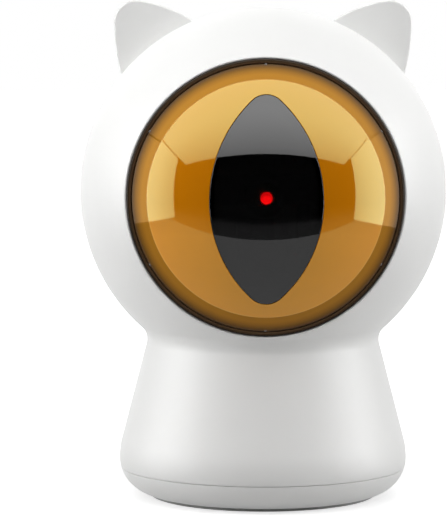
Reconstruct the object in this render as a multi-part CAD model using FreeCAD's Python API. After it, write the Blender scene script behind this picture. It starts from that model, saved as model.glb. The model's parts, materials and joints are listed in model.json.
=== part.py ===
"""Automatic cat laser toy: a cat-headed tower with a laser on a pan and tilt mount.

Millimetres. The origin is on the floor under the middle of the base, +Z is up, the lens
faces -Y, and +X is on the right of someone who faces the lens.
"""
import FreeCAD, Part
import math
import os

V = FreeCAD.Vector

# ---------------------------------------------------------------- driving dimensions
# Body outline: a sphere on a flared skirt, all turned about Z
head_radius = 49.0
wall = 2.4
neck_round = 4.5
skirt_slope_deg = 14.5
skirt_round = 20.0
base_margin = 8.1
tray_round = 9.6
underside_z = 0.6
seam_z = 7.8
seam_gap = 0.3
parting_y = 3.0

# Fits
fit_gap = 0.1
running_gap = 0.05
lip_thickness = 1.0
lip_height = 3.0

# Ears, as seen from the front: the right ear's foot on the sphere, then its outline from there
ear_turn_deg = 53.4
ear_foot_sink = 0.93
ear_inner_foot = (-9.55, 7.2)
ear_top_middle = (-1.85, 10.85)
ear_corner_start = (5.3, 12.5)
ear_corner_middle = (9.85, 10.7)
ear_corner_end = (11.15, 4.6)
ear_side_middle = (10.9, -1.4)
ear_outer_foot = (9.7, -7.2)
ear_inside_point = (-6.65, -14.6)
ear_front_y = 4.2
ear_depth = 19.0
ear_middle_scale = 0.84
ear_back_scale = 0.42
ear_wall = 1.8

# Screws: shank radius, head radius, head height
case_screw = (1.0, 1.5, 1.3)
small_screw = (0.8, 1.4, 1.0)
pilot_gap = 0.03
clearance_hole_gap = 0.15
boss_wall = 1.5

# Lens group, on the axis through the head centre along -Y
lens_edge_inset = 13.16
rim_seat_width = 2.25
rim_seat_gap = 0.23
bezel_band = 1.15
bezel_set_back = 0.2
lens_flange = 1.3
dome_set_back = 1.4
dome_thickness = 1.8
dome_cap_radius = 30.55
dome_step = 0.5
dome_ring_drop = 3.0
dome_skirt_wall = 1.8
retainer_thickness = 1.5
retainer_screw_count = 6
retainer_screw_in = 1.76
retainer_screw_rim = 0.3
retainer_screw_length = 6.6
pupil_half_width = 14.5
pupil_half_height = 27.0
pupil_tip_round = 5.5
pupil_flange_width = 1.6
pupil_flange_thickness = 1.3

# Case screws along Y: their clearance from the retainer or the wall, and their direction or height
head_boss_gap = 0.63
head_boss_turn_deg = 45.0
skirt_boss_inset = 3.95
skirt_boss_z = 22.0
case_seat_depth = 6.0
case_screw_length = 14.0
case_pilot_depth = 10.0

# Base tray, its screws and its foot ring
floor_boss_top = 5.6
floor_boss_radius = 2.6
floor_screw_seat_z = 2.2
floor_screw_length = 9.5
floor_pilot_depth = 7.0
shell_boss_top = 14.5
rib_thickness = 1.8
foot_rim = 0.65
foot_width = 1.8
foot_thickness = 2.0
foot_round = 0.5
foot_screw_gap = 0.5

# Battery bay: three AAA cells side by side along X
cell_radius = 5.25
cell_length = 44.5
cell_nub_radius = 1.9
cell_nub_length = 1.0
cell_gap = 0.3
cell_count = 3
cell_door_gap = 0.3
door_end_room = 2.25
door_side_room = 0.45
door_corner = 4.0
door_thickness = 2.0
door_gap = 0.15
door_hinge_half_length = 18.0
door_hinge_relief = 3.5
door_pin_radius = 0.5
door_pin_length = 2.5
door_grip_radius = 5.0
door_grip_depth = 0.8
door_grip_inset = 2.0
ledge_width = 1.1
ledge_thickness = 1.3
box_wall = 1.0
box_end_room = 2.75
box_side_room = 0.4
box_top_room = 0.3
box_corner = 2.0
contact_thickness = 0.4
contact_width = 8.6
contact_bow = 7.0
leaf_thickness = 0.3

# Mid frame: a plate on four legs that carries the laser mount
plate_thickness = 2.4
plate_wall_gap = 0.3
plate_board_gap = 0.9
motor_room = 6.2
leg_x = 15.5
leg_box_gap = 0.15
leg_radius = 2.2
wire_slot = (10.0, 5.0)
wire_slot_y = 12.0

# Gears: module, tooth counts and widths
gear_module = 0.5
pinion_teeth = 12
wheel_teeth = 60
gear_width = 3.0
pressure_angle_deg = 20.0
wheel_addendum = 0.7
pinion_addendum = 1.0
tooth_dedendum = 1.25
tooth_backlash = 0.07

# Pan stage
pan_shaft_radius = 3.0
pan_bush_wall = 1.15
pan_bush_flange_radius = 6.0
pan_bush_flange = 1.0
pan_wheel_gap = 1.0
pan_lens_gap = 0.8
pan_hub_radius = 5.0
pan_clip_radius = 5.5
pan_clip_thickness = 0.9
pan_clip_groove = 0.8
pan_clip_drop = 0.4
pan_shaft_tail = 1.0
pan_motor_radius = 7.5
pan_motor_length = 13.6
motor_shaft_radius = 0.75
motor_boss_radius = 2.0
pan_motor_screw_x = 5.0
pan_motor_screw_depth = 2.0

# Tilt stage
arm_inner_x = 15.5
arm_thickness = 2.5
arm_half_width = 5.0
bridge_thickness = 2.4
bridge_half_width = 7.0
bridge_motor_gap = 2.86
trunnion_radius = 1.5
tilt_bush_wall = 1.0
tilt_bush_flange = 0.5
tilt_bush_flange_radius = 3.6
tilt_wheel_x = 9.5
tilt_pinion_below_deg = 55.0
tilt_up_deg = 12.0
tilt_down_deg = 30.0
sector_margin_deg = 15.0
tilt_motor_radius = 5.0
tilt_motor_half_length = 7.0
saddle_half_length = 6.0
saddle_ear = 2.8
saddle_foot_z = 3.0
saddle_foot_half_width = 4.3
strap_thickness = 1.1
strap_half_width = 3.0
strap_screw_length = 5.0

# Laser
cradle_tube_radius = 5.0
cradle_back = 7.0
cross_shaft_radius = 4.0
laser_radius = 3.2
laser_rise = 0.65
laser_window_gap = 1.05
laser_overhang = 11.6
laser_back = 5.0
laser_nose_radius = 2.4
laser_nose_length = 6.0
laser_lens_radius = 1.5
laser_lens_proud = 0.8
laser_lens_length = 2.4

# Electronics behind the skirt; heights are from the board's lower edge
board_room = 1.8
board_thickness = 1.6
board_half_width = 12.0
board_height = 16.5
board_screw_x = 9.8
board_screw_inset = 1.9
board_screw_length = 6.0
board_post_wall = 1.2
usb_up = 2.3
usb_half_width = 4.5
usb_half_height = 1.65
usb_shell = 0.3
usb_set_in = 0.6
usb_mouth_start = 2.0
usb_tongue = (3.3, 0.35)
usb_tongue_set_in = 0.8
usb_slot_gap = 0.2
button_up = 12.0
button_radius = 4.7
button_flange_radius = 5.5
button_flange = 0.9
button_proud = 1.1
button_travel = 0.5
button_crown = 0.6
button_collar_wall = 1.8
button_stem_length = 0.25
button_stem_radius = 2.2
switch_half_width = 3.0
switch_height = 3.5
plunger_radius = 1.75
plunger_proud = 0.5
plunger_depth = 0.8
light_up = 8.0
light_x = 8.5
light_radius = 1.0
led_height = 0.8
led_half_width = 0.8
# Chips: width, height and thickness
radio_board = (12.0, 7.0, 0.8)
radio_can = (7.8, 5.8, 1.6)
radio_below_top = 3.5
controller_chip = (6.4, 4.4, 1.0)
driver_chip = (4.0, 4.8, 1.5)
driver_x = -9.4
chip_up = 0.6
chip_gap = 0.2

# ---------------------------------------------------------------- derived places
# Battery bay, which sets the width of the base
cell_pitch = 2 * cell_radius + cell_gap
cells_half_width = cell_pitch * (cell_count - 1) / 2 + cell_radius
door_length = cell_length + 2 * door_end_room
door_width = 2 * (cells_half_width + door_side_room)
door_axis_y = door_width / 2 - door_thickness / 2
door_axis_z = underside_z + door_thickness / 2
door_reach = math.hypot(door_length / 2 - door_corner, door_width / 2 - door_corner) + door_corner
cell_z = underside_z + door_thickness + cell_door_gap + cell_radius
ledge_z = underside_z + door_thickness + running_gap
bay_floor_z = ledge_z + ledge_thickness
box_half_length = cell_length / 2 + box_end_room
box_half_width = cells_half_width + box_side_room
box_outer_length = box_half_length + box_wall
box_outer_width = box_half_width + box_wall
box_inner_top = cell_z + cell_radius + box_top_room
box_top = box_inner_top + box_wall
box_reach = math.hypot(box_outer_length - box_corner, box_outer_width - box_corner) + box_corner
widest_radius = box_reach + base_margin
widest_z = underside_z + tray_round
foot_inner_radius = door_reach + door_gap + foot_rim
foot_outer_radius = foot_inner_radius + foot_width
tray_screw_y = (foot_inner_radius - fit_gap - foot_screw_gap - case_screw[1] - clearance_hole_gap)
leg_y = box_outer_width + leg_box_gap + leg_radius

# Lens group: depths are in front of the head centre
lens_opening_radius = head_radius - lens_edge_inset
lens_flange_radius = lens_opening_radius + rim_seat_width
lens_edge_depth = math.sqrt(head_radius ** 2 - lens_opening_radius ** 2)
rim_seat_depth = math.sqrt((head_radius - wall) ** 2 - (lens_flange_radius + rim_seat_gap) ** 2)
bezel_outer_radius = lens_opening_radius - fit_gap
bezel_inner_radius = bezel_outer_radius - bezel_band
dome_radius = head_radius - dome_set_back
dome_inner_radius = dome_radius - dome_thickness
dome_skirt_radius = bezel_inner_radius - fit_gap
dome_bore_radius = dome_skirt_radius - dome_skirt_wall
dome_flange_front = rim_seat_depth - lens_flange
dome_flange_back = dome_flange_front - lens_flange
retainer_back = dome_flange_back - retainer_thickness
retainer_screw_circle = lens_opening_radius + retainer_screw_in
retainer_radius = retainer_screw_circle + small_screw[1] + retainer_screw_rim
window_flange_outer = dome_inner_radius - running_gap
window_inner_radius = window_flange_outer - pupil_flange_thickness
laser_tip = window_inner_radius - laser_window_gap - laser_lens_proud
cradle_front = laser_tip - laser_overhang

# Heights: the pan stage stands on the battery box and ends below the lens group
plate_z = box_top + motor_room + pan_motor_length
plate_top = plate_z + plate_thickness
pan_hub_z = plate_top + pan_bush_flange + running_gap
pan_wheel_z = plate_top + pan_bush_flange + pan_wheel_gap
pan_wheel_top = pan_wheel_z + gear_width
pan_clip_top = plate_z - pan_clip_drop
head_centre_z = pan_wheel_top + pan_lens_gap + retainer_radius
head_centre = V(0, 0, head_centre_z)
head_boss_reach = retainer_radius + head_boss_gap + boss_wall + case_screw[0]

wheel_radius = gear_module * wheel_teeth / 2
pinion_radius = gear_module * pinion_teeth / 2
gear_centres = wheel_radius + pinion_radius
pan_motor_y = -gear_centres
tilt_pinion_way = V(0, math.cos(math.radians(tilt_pinion_below_deg)),
                    -math.sin(math.radians(tilt_pinion_below_deg)))
tilt_motor_centre = head_centre + tilt_pinion_way * gear_centres
bridge_top = tilt_motor_centre.z - tilt_motor_radius - bridge_motor_gap
bridge_bottom = bridge_top - bridge_thickness
arm_outer_x = arm_inner_x + arm_thickness
trunnion_bore = trunnion_radius + running_gap
tilt_bush_radius = trunnion_bore + tilt_bush_wall


def skirt_outer_radius(z):
    """Outer radius of the sloped skirt at a height."""
    slope = math.radians(skirt_slope_deg)
    foot_radius = widest_radius - skirt_round + skirt_round * math.cos(slope)
    foot_z = widest_z + skirt_round * math.sin(slope)
    return foot_radius - (z - foot_z) * math.tan(slope)


def skirt_inner_radius(z):
    """Inner radius of the sloped skirt at a height."""
    return skirt_outer_radius(z) - wall / math.cos(math.radians(skirt_slope_deg))


# Board: its depth follows from the button, which seats in the sloped wall
board_bottom_z = box_top + board_room
board_top_z = board_bottom_z + board_height
usb_z = board_bottom_z + usb_up
button_z = board_bottom_z + button_up
light_z = board_bottom_z + light_up
button_seat_y = skirt_inner_radius(button_z + button_flange_radius)
button_flange_back = button_seat_y - fit_gap - button_flange
plunger_top_y = button_flange_back - button_stem_length
switch_top_y = plunger_top_y - plunger_proud
board_back_y = switch_top_y - switch_height
board_y = board_back_y - board_thickness
plate_radius = skirt_inner_radius(plate_top) - fit_gap - lip_thickness - plate_wall_gap
skirt_boss_x = skirt_inner_radius(skirt_boss_z) - skirt_boss_inset


# ---------------------------------------------------------------- simple solids
def point(place):
    """A FreeCAD vector from three numbers or from a vector."""
    return V(*place)


def rod(radius, start, end):
    """Round bar between two points."""
    axis = point(end) - point(start)
    return Part.makeCylinder(radius, axis.Length, point(start), axis)


def tube(outer, inner, start, end):
    """Round bar with a round bore."""
    return rod(outer, start, end).cut(rod(inner, start, end))


def block(low, high):
    """Box between its lowest and highest corner."""
    size = point(high) - point(low)
    return Part.makeBox(size.x, size.y, size.z, point(low))


def rounded_plate(half_x, half_y, corner, low_z, high_z):
    """Plate with rounded corners, centred on the Z axis."""
    plate = block((-half_x, -half_y, low_z), (half_x, half_y, high_z))
    upright = [edge for edge in plate.Edges
               if abs(edge.Vertexes[0].Z - edge.Vertexes[-1].Z) > (high_z - low_z) / 2]
    return plate.makeFillet(corner, upright)


def fused(shapes):
    """One solid from shapes that touch or overlap."""
    return shapes[0].multiFuse(shapes[1:]).removeSplitter()


def mirrored(places):
    """Each (x, y, z) and its twin on the other side of the symmetry plane."""
    return [V(side * x, y, z) for (x, y, z) in places for side in (1, -1)]


def screw(size, seat, way, length):
    """Pan-head screw: seat is the middle of the head's underside, way points along the shank."""
    shank_radius, head_radius_, head_height = size
    way = point(way).normalize()
    seat = point(seat)
    head = rod(head_radius_, seat - way * head_height, seat)
    body = head.fuse(rod(shank_radius, seat, seat + way * length))
    side = way.cross(V(1, 1, 1)).normalize()
    for arm in (side, way.cross(side)):
        slot = Part.makeBox(head_radius_ * 1.1, shank_radius * 0.4, head_height * 0.5)
        slot.translate(V(-head_radius_ * 0.55, -shank_radius * 0.2, 0))
        slot.Placement = FreeCAD.Placement(
            seat - way * head_height, FreeCAD.Rotation(arm, way.cross(arm), way, "ZXY")
        ).multiply(slot.Placement)
        body = body.cut(slot)
    return body


# ---------------------------------------------------------------- body outline
def arc_edge(centre, radius, start_deg, end_deg):
    """Arc in the X-Z plane about (x, z), from one angle to another."""
    def at(degrees):
        turn = math.radians(degrees)
        return V(centre[0] + radius * math.cos(turn), 0, centre[1] + radius * math.sin(turn))
    return Part.Arc(at(start_deg), at((start_deg + end_deg) / 2), at(end_deg)).toShape()


def turned(edges, axis=V(0, 0, 1), through=V(0, 0, 0)):
    """Solid turned from a closed outline of edges."""
    return Part.Face(Part.Wire(edges)).revolve(through, axis, 360)


def body_solid(inset):
    """The whole body turned about Z, with every surface moved inwards by inset."""
    slope = math.radians(skirt_slope_deg)
    outward = (math.cos(slope), math.sin(slope))
    upward = (-math.sin(slope), math.cos(slope))
    skirt_centre = (widest_radius - skirt_round, widest_z)
    cone_foot = [skirt_centre[i] + (skirt_round - inset) * outward[i] for i in (0, 1)]
    # The neck's round touches the cone and the sphere from outside
    neck_radius = neck_round + inset
    reach = head_radius + neck_round
    start = (cone_foot[0] + neck_radius * outward[0],
             cone_foot[1] + neck_radius * outward[1] - head_centre_z)
    along = start[0] * upward[0] + start[1] * upward[1]
    climb = -along - math.sqrt(along ** 2 - (start[0] ** 2 + start[1] ** 2) + reach ** 2)
    neck_centre = (start[0] + climb * upward[0], start[1] + climb * upward[1] + head_centre_z)
    cone_top = (neck_centre[0] - neck_radius * outward[0], neck_centre[1] - neck_radius * outward[1])
    sphere_deg = math.degrees(math.atan2(neck_centre[1] - head_centre_z, neck_centre[0]))
    flat_radius = widest_radius - tray_round
    floor_z = underside_z + inset
    top_z = head_centre_z + head_radius - inset
    return turned([
        Part.makeLine(V(0, 0, floor_z), V(flat_radius, 0, floor_z)),
        arc_edge((flat_radius, widest_z), tray_round - inset, -90, 0),
        arc_edge(skirt_centre, skirt_round - inset, 0, skirt_slope_deg),
        Part.makeLine(V(cone_foot[0], 0, cone_foot[1]), V(cone_top[0], 0, cone_top[1])),
        arc_edge(neck_centre, neck_radius, 180 + skirt_slope_deg, 180 + sphere_deg),
        arc_edge((0, head_centre_z), head_radius - inset, sphere_deg, 90),
        Part.makeLine(V(0, 0, top_z), V(0, 0, floor_z)),
    ])


def wall_layer(outer_inset, inner_inset):
    """The layer of the body between two insets."""
    return body_solid(outer_inset).cut(body_solid(inner_inset))


far = 4 * head_radius


def half_space(low_y=-far, high_y=far, low_z=-far, high_z=far):
    """A large box that keeps what lies between the given heights and depths."""
    return block((-far, low_y, low_z), (far, high_y, high_z))


# ---------------------------------------------------------------- casing
def case_boss_places():
    """Feet of the four case screws' bosses, at the parting plane."""
    turn = math.radians(head_boss_turn_deg)
    return mirrored([(head_boss_reach * math.cos(turn), parting_y,
                      head_centre_z + head_boss_reach * math.sin(turn)),
                     (skirt_boss_x, parting_y, skirt_boss_z)])


def tray_boss(side):
    """The boss that takes one of the tray's screws, at the front (-1) or the back (1)."""
    y = side * tray_screw_y
    return rod(case_screw[0] + boss_wall, (0, y, floor_boss_top + fit_gap), (0, y, shell_boss_top))


def tray_boss_rib(side):
    """Rib from that boss out to the wall."""
    low_y, high_y = sorted((side * tray_screw_y, side * widest_radius))
    return block((-rib_thickness / 2, low_y, seam_z + lip_height + fit_gap),
                 (rib_thickness / 2, high_y, shell_boss_top))


def tray_boss_bore(side):
    """Pilot hole of that boss."""
    y = side * tray_screw_y
    return rod(case_screw[0] + pilot_gap, (0, y, floor_boss_top),
               (0, y, floor_boss_top + floor_pilot_depth))


def lens_axis_point(depth):
    """A point on the lens axis, depth in front of the head centre."""
    return V(0, -depth, head_centre_z)


def lens_rod(radius, back, front):
    """Round bar on the lens axis."""
    return rod(radius, lens_axis_point(back), lens_axis_point(front))


def retainer_screw_places(depth):
    """Places of the retainer's screws, with one straight above the lens axis."""
    places = []
    for index in range(retainer_screw_count):
        turn = math.radians(90 + 360 * index / retainer_screw_count)
        places.append(V(retainer_screw_circle * math.cos(turn), -depth,
                        head_centre_z + retainer_screw_circle * math.sin(turn)))
    return places


def front_shell():
    """Front half of the casing, with the lens opening, its rim and the screw bosses."""
    keep = half_space(high_y=parting_y, low_z=seam_z + seam_gap / 2)
    standing = [lens_rod(retainer_radius, rim_seat_depth, head_radius)]
    for place in case_boss_places():
        standing.append(rod(case_screw[0] + boss_wall, place, place - V(0, head_radius, 0)))
    standing += [tray_boss(-1), tray_boss_rib(-1)]
    hollow = body_solid(wall).cut(standing)
    solid = fused([body_solid(0).common(keep).cut(hollow), tray_boss(-1)])
    cuts = [lens_rod(lens_opening_radius, 0, 2 * head_radius)]
    for place in case_boss_places():
        cuts.append(rod(case_screw[0] + pilot_gap, place, place - V(0, case_pilot_depth, 0)))
    for place in retainer_screw_places(rim_seat_depth):
        tip = place - V(0, retainer_screw_length - retainer_thickness - 2 * lens_flange + fit_gap, 0)
        cuts.append(rod(small_screw[0] + pilot_gap, place + V(0, lens_flange, 0), tip))
    cuts.append(tray_boss_bore(-1))
    return solid.cut(cuts)


def ear_wire(side, depth, scale, inset):
    """Closed outline of one ear, depth behind its face, shrunk towards its foot.

    The foot follows the sphere inwards, and the outline is moved in by inset.
    """
    y = ear_front_y + depth
    turn = math.radians(ear_turn_deg)
    reach = math.sqrt(head_radius ** 2 - y ** 2) - ear_foot_sink
    foot = V(reach * math.cos(turn), 0, reach * math.sin(turn))

    def at(pair):
        flat = foot + V(pair[0], 0, pair[1]) * scale
        return V(side * flat.x, y, head_centre_z + flat.z)

    wire = Part.Wire([
        Part.Arc(at(ear_inner_foot), at(ear_top_middle), at(ear_corner_start)).toShape(),
        Part.Arc(at(ear_corner_start), at(ear_corner_middle), at(ear_corner_end)).toShape(),
        Part.Arc(at(ear_corner_end), at(ear_side_middle), at(ear_outer_foot)).toShape(),
        Part.makeLine(at(ear_outer_foot), at(ear_inside_point)),
        Part.makeLine(at(ear_inside_point), at(ear_inner_foot)),
    ])
    return wire.makeOffset2D(-inset) if inset else wire


def ear(side, inset):
    """One ear, rounded towards the back, as a solid that reaches into the head."""
    return Part.makeLoft([ear_wire(side, 0, 1.0, inset),
                          ear_wire(side, ear_depth / 2, ear_middle_scale, inset),
                          ear_wire(side, ear_depth, ear_back_scale, inset)], True, False)


def ear_hollow(side):
    """The space inside one ear, open to the head."""
    front = ear_wire(side, ear_wall, 1.0, ear_wall)
    back = ear_wire(side, ear_depth / 2, ear_middle_scale, ear_wall)
    return Part.makeLoft([front, back], True, True)


def rear_shell():
    """Rear half of the casing, with the ears and the seats of switch, socket and board."""
    keep = half_space(low_y=parting_y, low_z=seam_z + seam_gap / 2)
    # Root of the lip that locates the two halves, then the tubes of the case screws
    lip_low = seam_z + lip_height + lip_thickness
    lip_root = body_solid(0).cut(body_solid(wall + fit_gap + lip_thickness)).common(
        half_space(parting_y, parting_y + lip_thickness * 2, lip_low))
    standing = [lip_root]
    for place in case_boss_places():
        standing.append(rod(case_screw[1] + boss_wall, place, place + V(0, head_radius, 0)))
    standing += [tray_boss(1), tray_boss_rib(1)]
    for place in board_screw_places(board_back_y):
        standing.append(rod(small_screw[0] + board_post_wall, place, place + V(0, head_radius, 0)))
    standing.append(rod(button_radius + button_collar_wall, (0, button_seat_y, button_z),
                        (0, widest_radius, button_z)))
    hollow = body_solid(wall).cut(standing)
    shell = body_solid(0).common(keep).cut(hollow)
    lip = wall_layer(wall + fit_gap, wall + fit_gap + lip_thickness).common(
        half_space(parting_y - lip_thickness * 2, parting_y + lip_thickness, lip_low))
    lip = lip.cut([rod(case_screw[0] + boss_wall + fit_gap, place, place - V(0, wall, 0))
                   for place in case_boss_places()])
    ears = [ear(side, 0).cut(body_solid(wall / 2)) for side in (1, -1)]
    solid = fused([shell, lip, tray_boss(1)] + ears)
    cuts = [ear_hollow(side) for side in (1, -1)]
    for place in case_boss_places():
        seat = place + V(0, case_seat_depth, 0)
        cuts.append(rod(case_screw[0] + clearance_hole_gap, place - V(0, wall, 0), seat))
        cuts.append(rod(case_screw[1] + clearance_hole_gap, seat, place + V(0, 2 * head_radius, 0)))
    cuts.append(tray_boss_bore(1))
    for place in board_screw_places(board_back_y):
        depth = board_screw_length - board_thickness + fit_gap
        cuts.append(rod(small_screw[0] + pilot_gap, place, place + V(0, depth, 0)))
    cuts.append(rod(button_radius + fit_gap, (0, board_back_y, button_z),
                    (0, 2 * widest_radius, button_z)))
    cuts.append(usb_prism(usb_slot_gap, board_back_y, 2 * widest_radius))
    cuts.append(rod(light_radius + running_gap, (light_x, board_back_y, light_z),
                    (light_x, 2 * widest_radius, light_z)))
    return solid.cut(cuts)


def floor_screw_places():
    """Middles of the screws in the tray's floor: four into the legs, two into the shells."""
    return leg_places() + [V(0, -tray_screw_y, 0), V(0, tray_screw_y, 0)]


def floor_screw_passage(place):
    """Head recess and clearance hole of a screw in the tray's floor."""
    recess = rod(case_screw[1] + clearance_hole_gap, (place.x, place.y, -underside_z),
                 (place.x, place.y, floor_screw_seat_z))
    return recess.fuse(rod(case_screw[0] + clearance_hole_gap, (place.x, place.y, 0),
                           (place.x, place.y, floor_boss_top + fit_gap)))


def leg_places():
    """Middles of the four legs of the frame."""
    return mirrored([(leg_x, leg_y, 0), (leg_x, -leg_y, 0)])


def base_tray():
    """Bottom tray with the battery opening, its ledge, the lip and the screw seats."""
    rim_z = seam_z - seam_gap / 2
    keep = half_space(high_z=rim_z)
    lip_inset = wall + fit_gap + lip_thickness
    lip_root = body_solid(0).cut(body_solid(lip_inset)).common(
        half_space(low_z=seam_z - lip_height, high_z=rim_z))
    bay = rounded_plate(box_outer_length, box_outer_width, box_corner, underside_z, bay_floor_z)
    standing = [lip_root, bay]
    for place in floor_screw_places():
        radius = leg_radius if place.x else floor_boss_radius
        standing.append(rod(radius, (place.x, place.y, 0), (place.x, place.y, floor_boss_top)))
    hollow = body_solid(wall).cut(standing)
    lip = wall_layer(wall + fit_gap, lip_inset).common(
        half_space(low_z=rim_z - lip_thickness, high_z=seam_z + lip_height))
    solid = fused([body_solid(0).common(keep).cut(hollow), lip])
    # The door's cut-back edge swings past the tray about the hinge axis
    half_door = door_thickness / 2
    reach = door_hinge_relief - half_door
    swing = reach - math.sqrt(reach ** 2 - half_door ** 2)
    cuts = [door_outline(door_gap, underside_z - 1.0, ledge_z, swing),
            block((-door_length / 2 + ledge_width, -box_half_width, ledge_z - fit_gap),
                  (door_length / 2 - ledge_width, box_half_width, bay_floor_z + 1.0)),
            rod(door_pin_radius + running_gap, (-door_pin_end(), door_axis_y, door_axis_z),
                (door_pin_end(), door_axis_y, door_axis_z)),
            tube(foot_outer_radius + fit_gap, foot_inner_radius - fit_gap,
                 (0, 0, -1.0), (0, 0, foot_thickness))]
    cuts += [floor_screw_passage(place) for place in floor_screw_places()]
    return solid.cut(cuts)


def foot_ring():
    """Soft ring that the toy stands on."""
    ring = tube(foot_outer_radius, foot_inner_radius, (0, 0, 0), (0, 0, foot_thickness))
    bottom = [edge for edge in ring.Edges
              if edge.Closed and abs(edge.Vertexes[0].Z) < 1e-6]
    return ring.makeFillet(foot_round, bottom)


def shell_screws():
    """The four screws that pull the shells together."""
    return Part.makeCompound([screw(case_screw, place + V(0, case_seat_depth, 0), (0, -1, 0),
                                    case_screw_length) for place in case_boss_places()])


def floor_screws():
    """The screws from the tray up into the frame's legs and the shells."""
    return Part.makeCompound([screw(case_screw, (place.x, place.y, floor_screw_seat_z), (0, 0, 1),
                                    floor_screw_length) for place in floor_screw_places()])


# ---------------------------------------------------------------- lens group
def lens_turned(corners):
    """Ring turned about the lens axis from corners given as (radius, depth)."""
    points = [V(radius, -depth, head_centre_z) for radius, depth in corners]
    return turned(Part.makePolygon(points + points[:1]).Edges, V(0, -1, 0), head_centre)


def retainer_passages(gap):
    """Bars that clear the retainer's screws through the flanges."""
    return [rod(small_screw[0] + gap, place + V(0, lens_flange, 0),
                place - V(0, retainer_thickness + 3 * lens_flange, 0))
            for place in retainer_screw_places(retainer_back)]


def bezel_ring():
    """Black ring between the shell and the dome, flanged behind the rim."""
    front = lens_edge_depth - bezel_set_back
    back = rim_seat_depth - lens_flange
    ring = lens_turned([(bezel_inner_radius, back), (bezel_inner_radius, front),
                        (bezel_outer_radius, front), (bezel_outer_radius, rim_seat_depth),
                        (lens_flange_radius, rim_seat_depth), (lens_flange_radius, back)])
    return ring.cut(retainer_passages(clearance_hole_gap))


def pupil_prism(grow, back, front):
    """Pointed oval bar along the lens axis: two big arcs and two small round tips."""
    half_width = pupil_half_width + grow
    tip = pupil_tip_round + grow
    tip_centre = pupil_half_height - pupil_tip_round
    side = ((pupil_half_width ** 2 + tip_centre ** 2 - pupil_tip_round ** 2)
            / (2 * (pupil_half_width - pupil_tip_round))) + grow
    side_centre = side - half_width
    stretch = side / (side - tip)
    touch_x = side_centre * stretch - side_centre
    touch_z = tip_centre * stretch

    def at(x, z):
        return V(x, -back, head_centre_z + z)

    edges = [Part.Arc(at(touch_x, -touch_z), at(half_width, 0), at(touch_x, touch_z)).toShape(),
             Part.Arc(at(touch_x, touch_z), at(0, tip_centre + tip), at(-touch_x, touch_z)).toShape(),
             Part.Arc(at(-touch_x, touch_z), at(-half_width, 0), at(-touch_x, -touch_z)).toShape(),
             Part.Arc(at(-touch_x, -touch_z), at(0, -tip_centre - tip),
                      at(touch_x, -touch_z)).toShape()]
    return Part.Face(Part.Wire(edges)).extrude(V(0, back - front, 0))


def sphere_layer(outer, inner):
    """Hollow sphere about the head centre."""
    return Part.makeSphere(outer, head_centre).cut(Part.makeSphere(inner, head_centre))


def amber_dome():
    """Tinted dome: cap, sloped ring, skirt and flange, with the pupil's opening."""
    cap_edge = math.sqrt(dome_radius ** 2 - dome_cap_radius ** 2)
    ring_inner = cap_edge - dome_step
    ring_outer = ring_inner - dome_ring_drop
    flange_radius = lens_flange_radius
    bore_edge = math.sqrt(dome_inner_radius ** 2 - dome_bore_radius ** 2)

    def at(radius, depth):
        return V(radius, -depth, head_centre_z)

    def cap_arc(radius, edge_radius, edge_depth):
        half_turn = math.asin(edge_radius / radius) / 2
        middle = at(radius * math.sin(half_turn), radius * math.cos(half_turn))
        return Part.Arc(at(0, radius), middle, at(edge_radius, edge_depth)).toShape()

    corners = [at(dome_cap_radius, cap_edge), at(dome_cap_radius, ring_inner),
               at(dome_skirt_radius, ring_outer), at(dome_skirt_radius, dome_flange_front),
               at(flange_radius, dome_flange_front), at(flange_radius, dome_flange_back),
               at(dome_bore_radius, dome_flange_back), at(dome_bore_radius, bore_edge)]
    edges = [cap_arc(dome_radius, dome_cap_radius, cap_edge)]
    edges += Part.makePolygon(corners).Edges
    edges.append(cap_arc(dome_inner_radius, dome_bore_radius, bore_edge))
    edges.append(Part.makeLine(at(0, dome_inner_radius), at(0, dome_radius)))
    dome = turned(edges, V(0, -1, 0), head_centre)
    return dome.cut([pupil_prism(0, 0, 2 * head_radius)] + retainer_passages(clearance_hole_gap))


def pupil_window():
    """Smoked window flush in the dome, with a flange behind it."""
    pane = sphere_layer(dome_radius, window_inner_radius)
    pane = pane.common(pupil_prism(-fit_gap, 0, 2 * head_radius))
    flange = sphere_layer(window_flange_outer, window_inner_radius)
    flange = flange.common(pupil_prism(pupil_flange_width, 0, 2 * head_radius))
    return pane.fuse(flange).removeSplitter()


def lens_retainer():
    """Ring that clamps dome and bezel against the rim."""
    ring = tube(retainer_radius, dome_bore_radius, lens_axis_point(retainer_back),
                lens_axis_point(dome_flange_back))
    return ring.cut(retainer_passages(clearance_hole_gap))


def retainer_screws():
    """Screws of the lens retainer."""
    return Part.makeCompound([screw(small_screw, place, (0, -1, 0), retainer_screw_length)
                              for place in retainer_screw_places(retainer_back)])


# ---------------------------------------------------------------- battery bay
def door_pin_end():
    """Distance from the middle to the end of the hinge pins' holes."""
    return door_hinge_half_length + door_pin_length + fit_gap


def door_outline(grow, low_z, high_z, swing=0.0):
    """The door's plan, grown all round, between two heights.

    The corners beside the hinge are cut back, and swing moves that cut outwards.
    """
    half_x = door_length / 2
    half_y = door_width / 2
    relief_y = half_y - door_hinge_relief + grow + swing
    plate = rounded_plate(half_x + grow, half_y + grow, door_corner + grow, low_z, high_z)
    for side in (1, -1):
        inner = side * (door_hinge_half_length + grow)
        outer = side * (half_x + 1.0 + grow)
        corner = block((min(inner, outer), relief_y, low_z),
                       (max(inner, outer), half_y + 1.0 + grow, high_z))
        plate = plate.cut(corner)
    return plate


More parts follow.
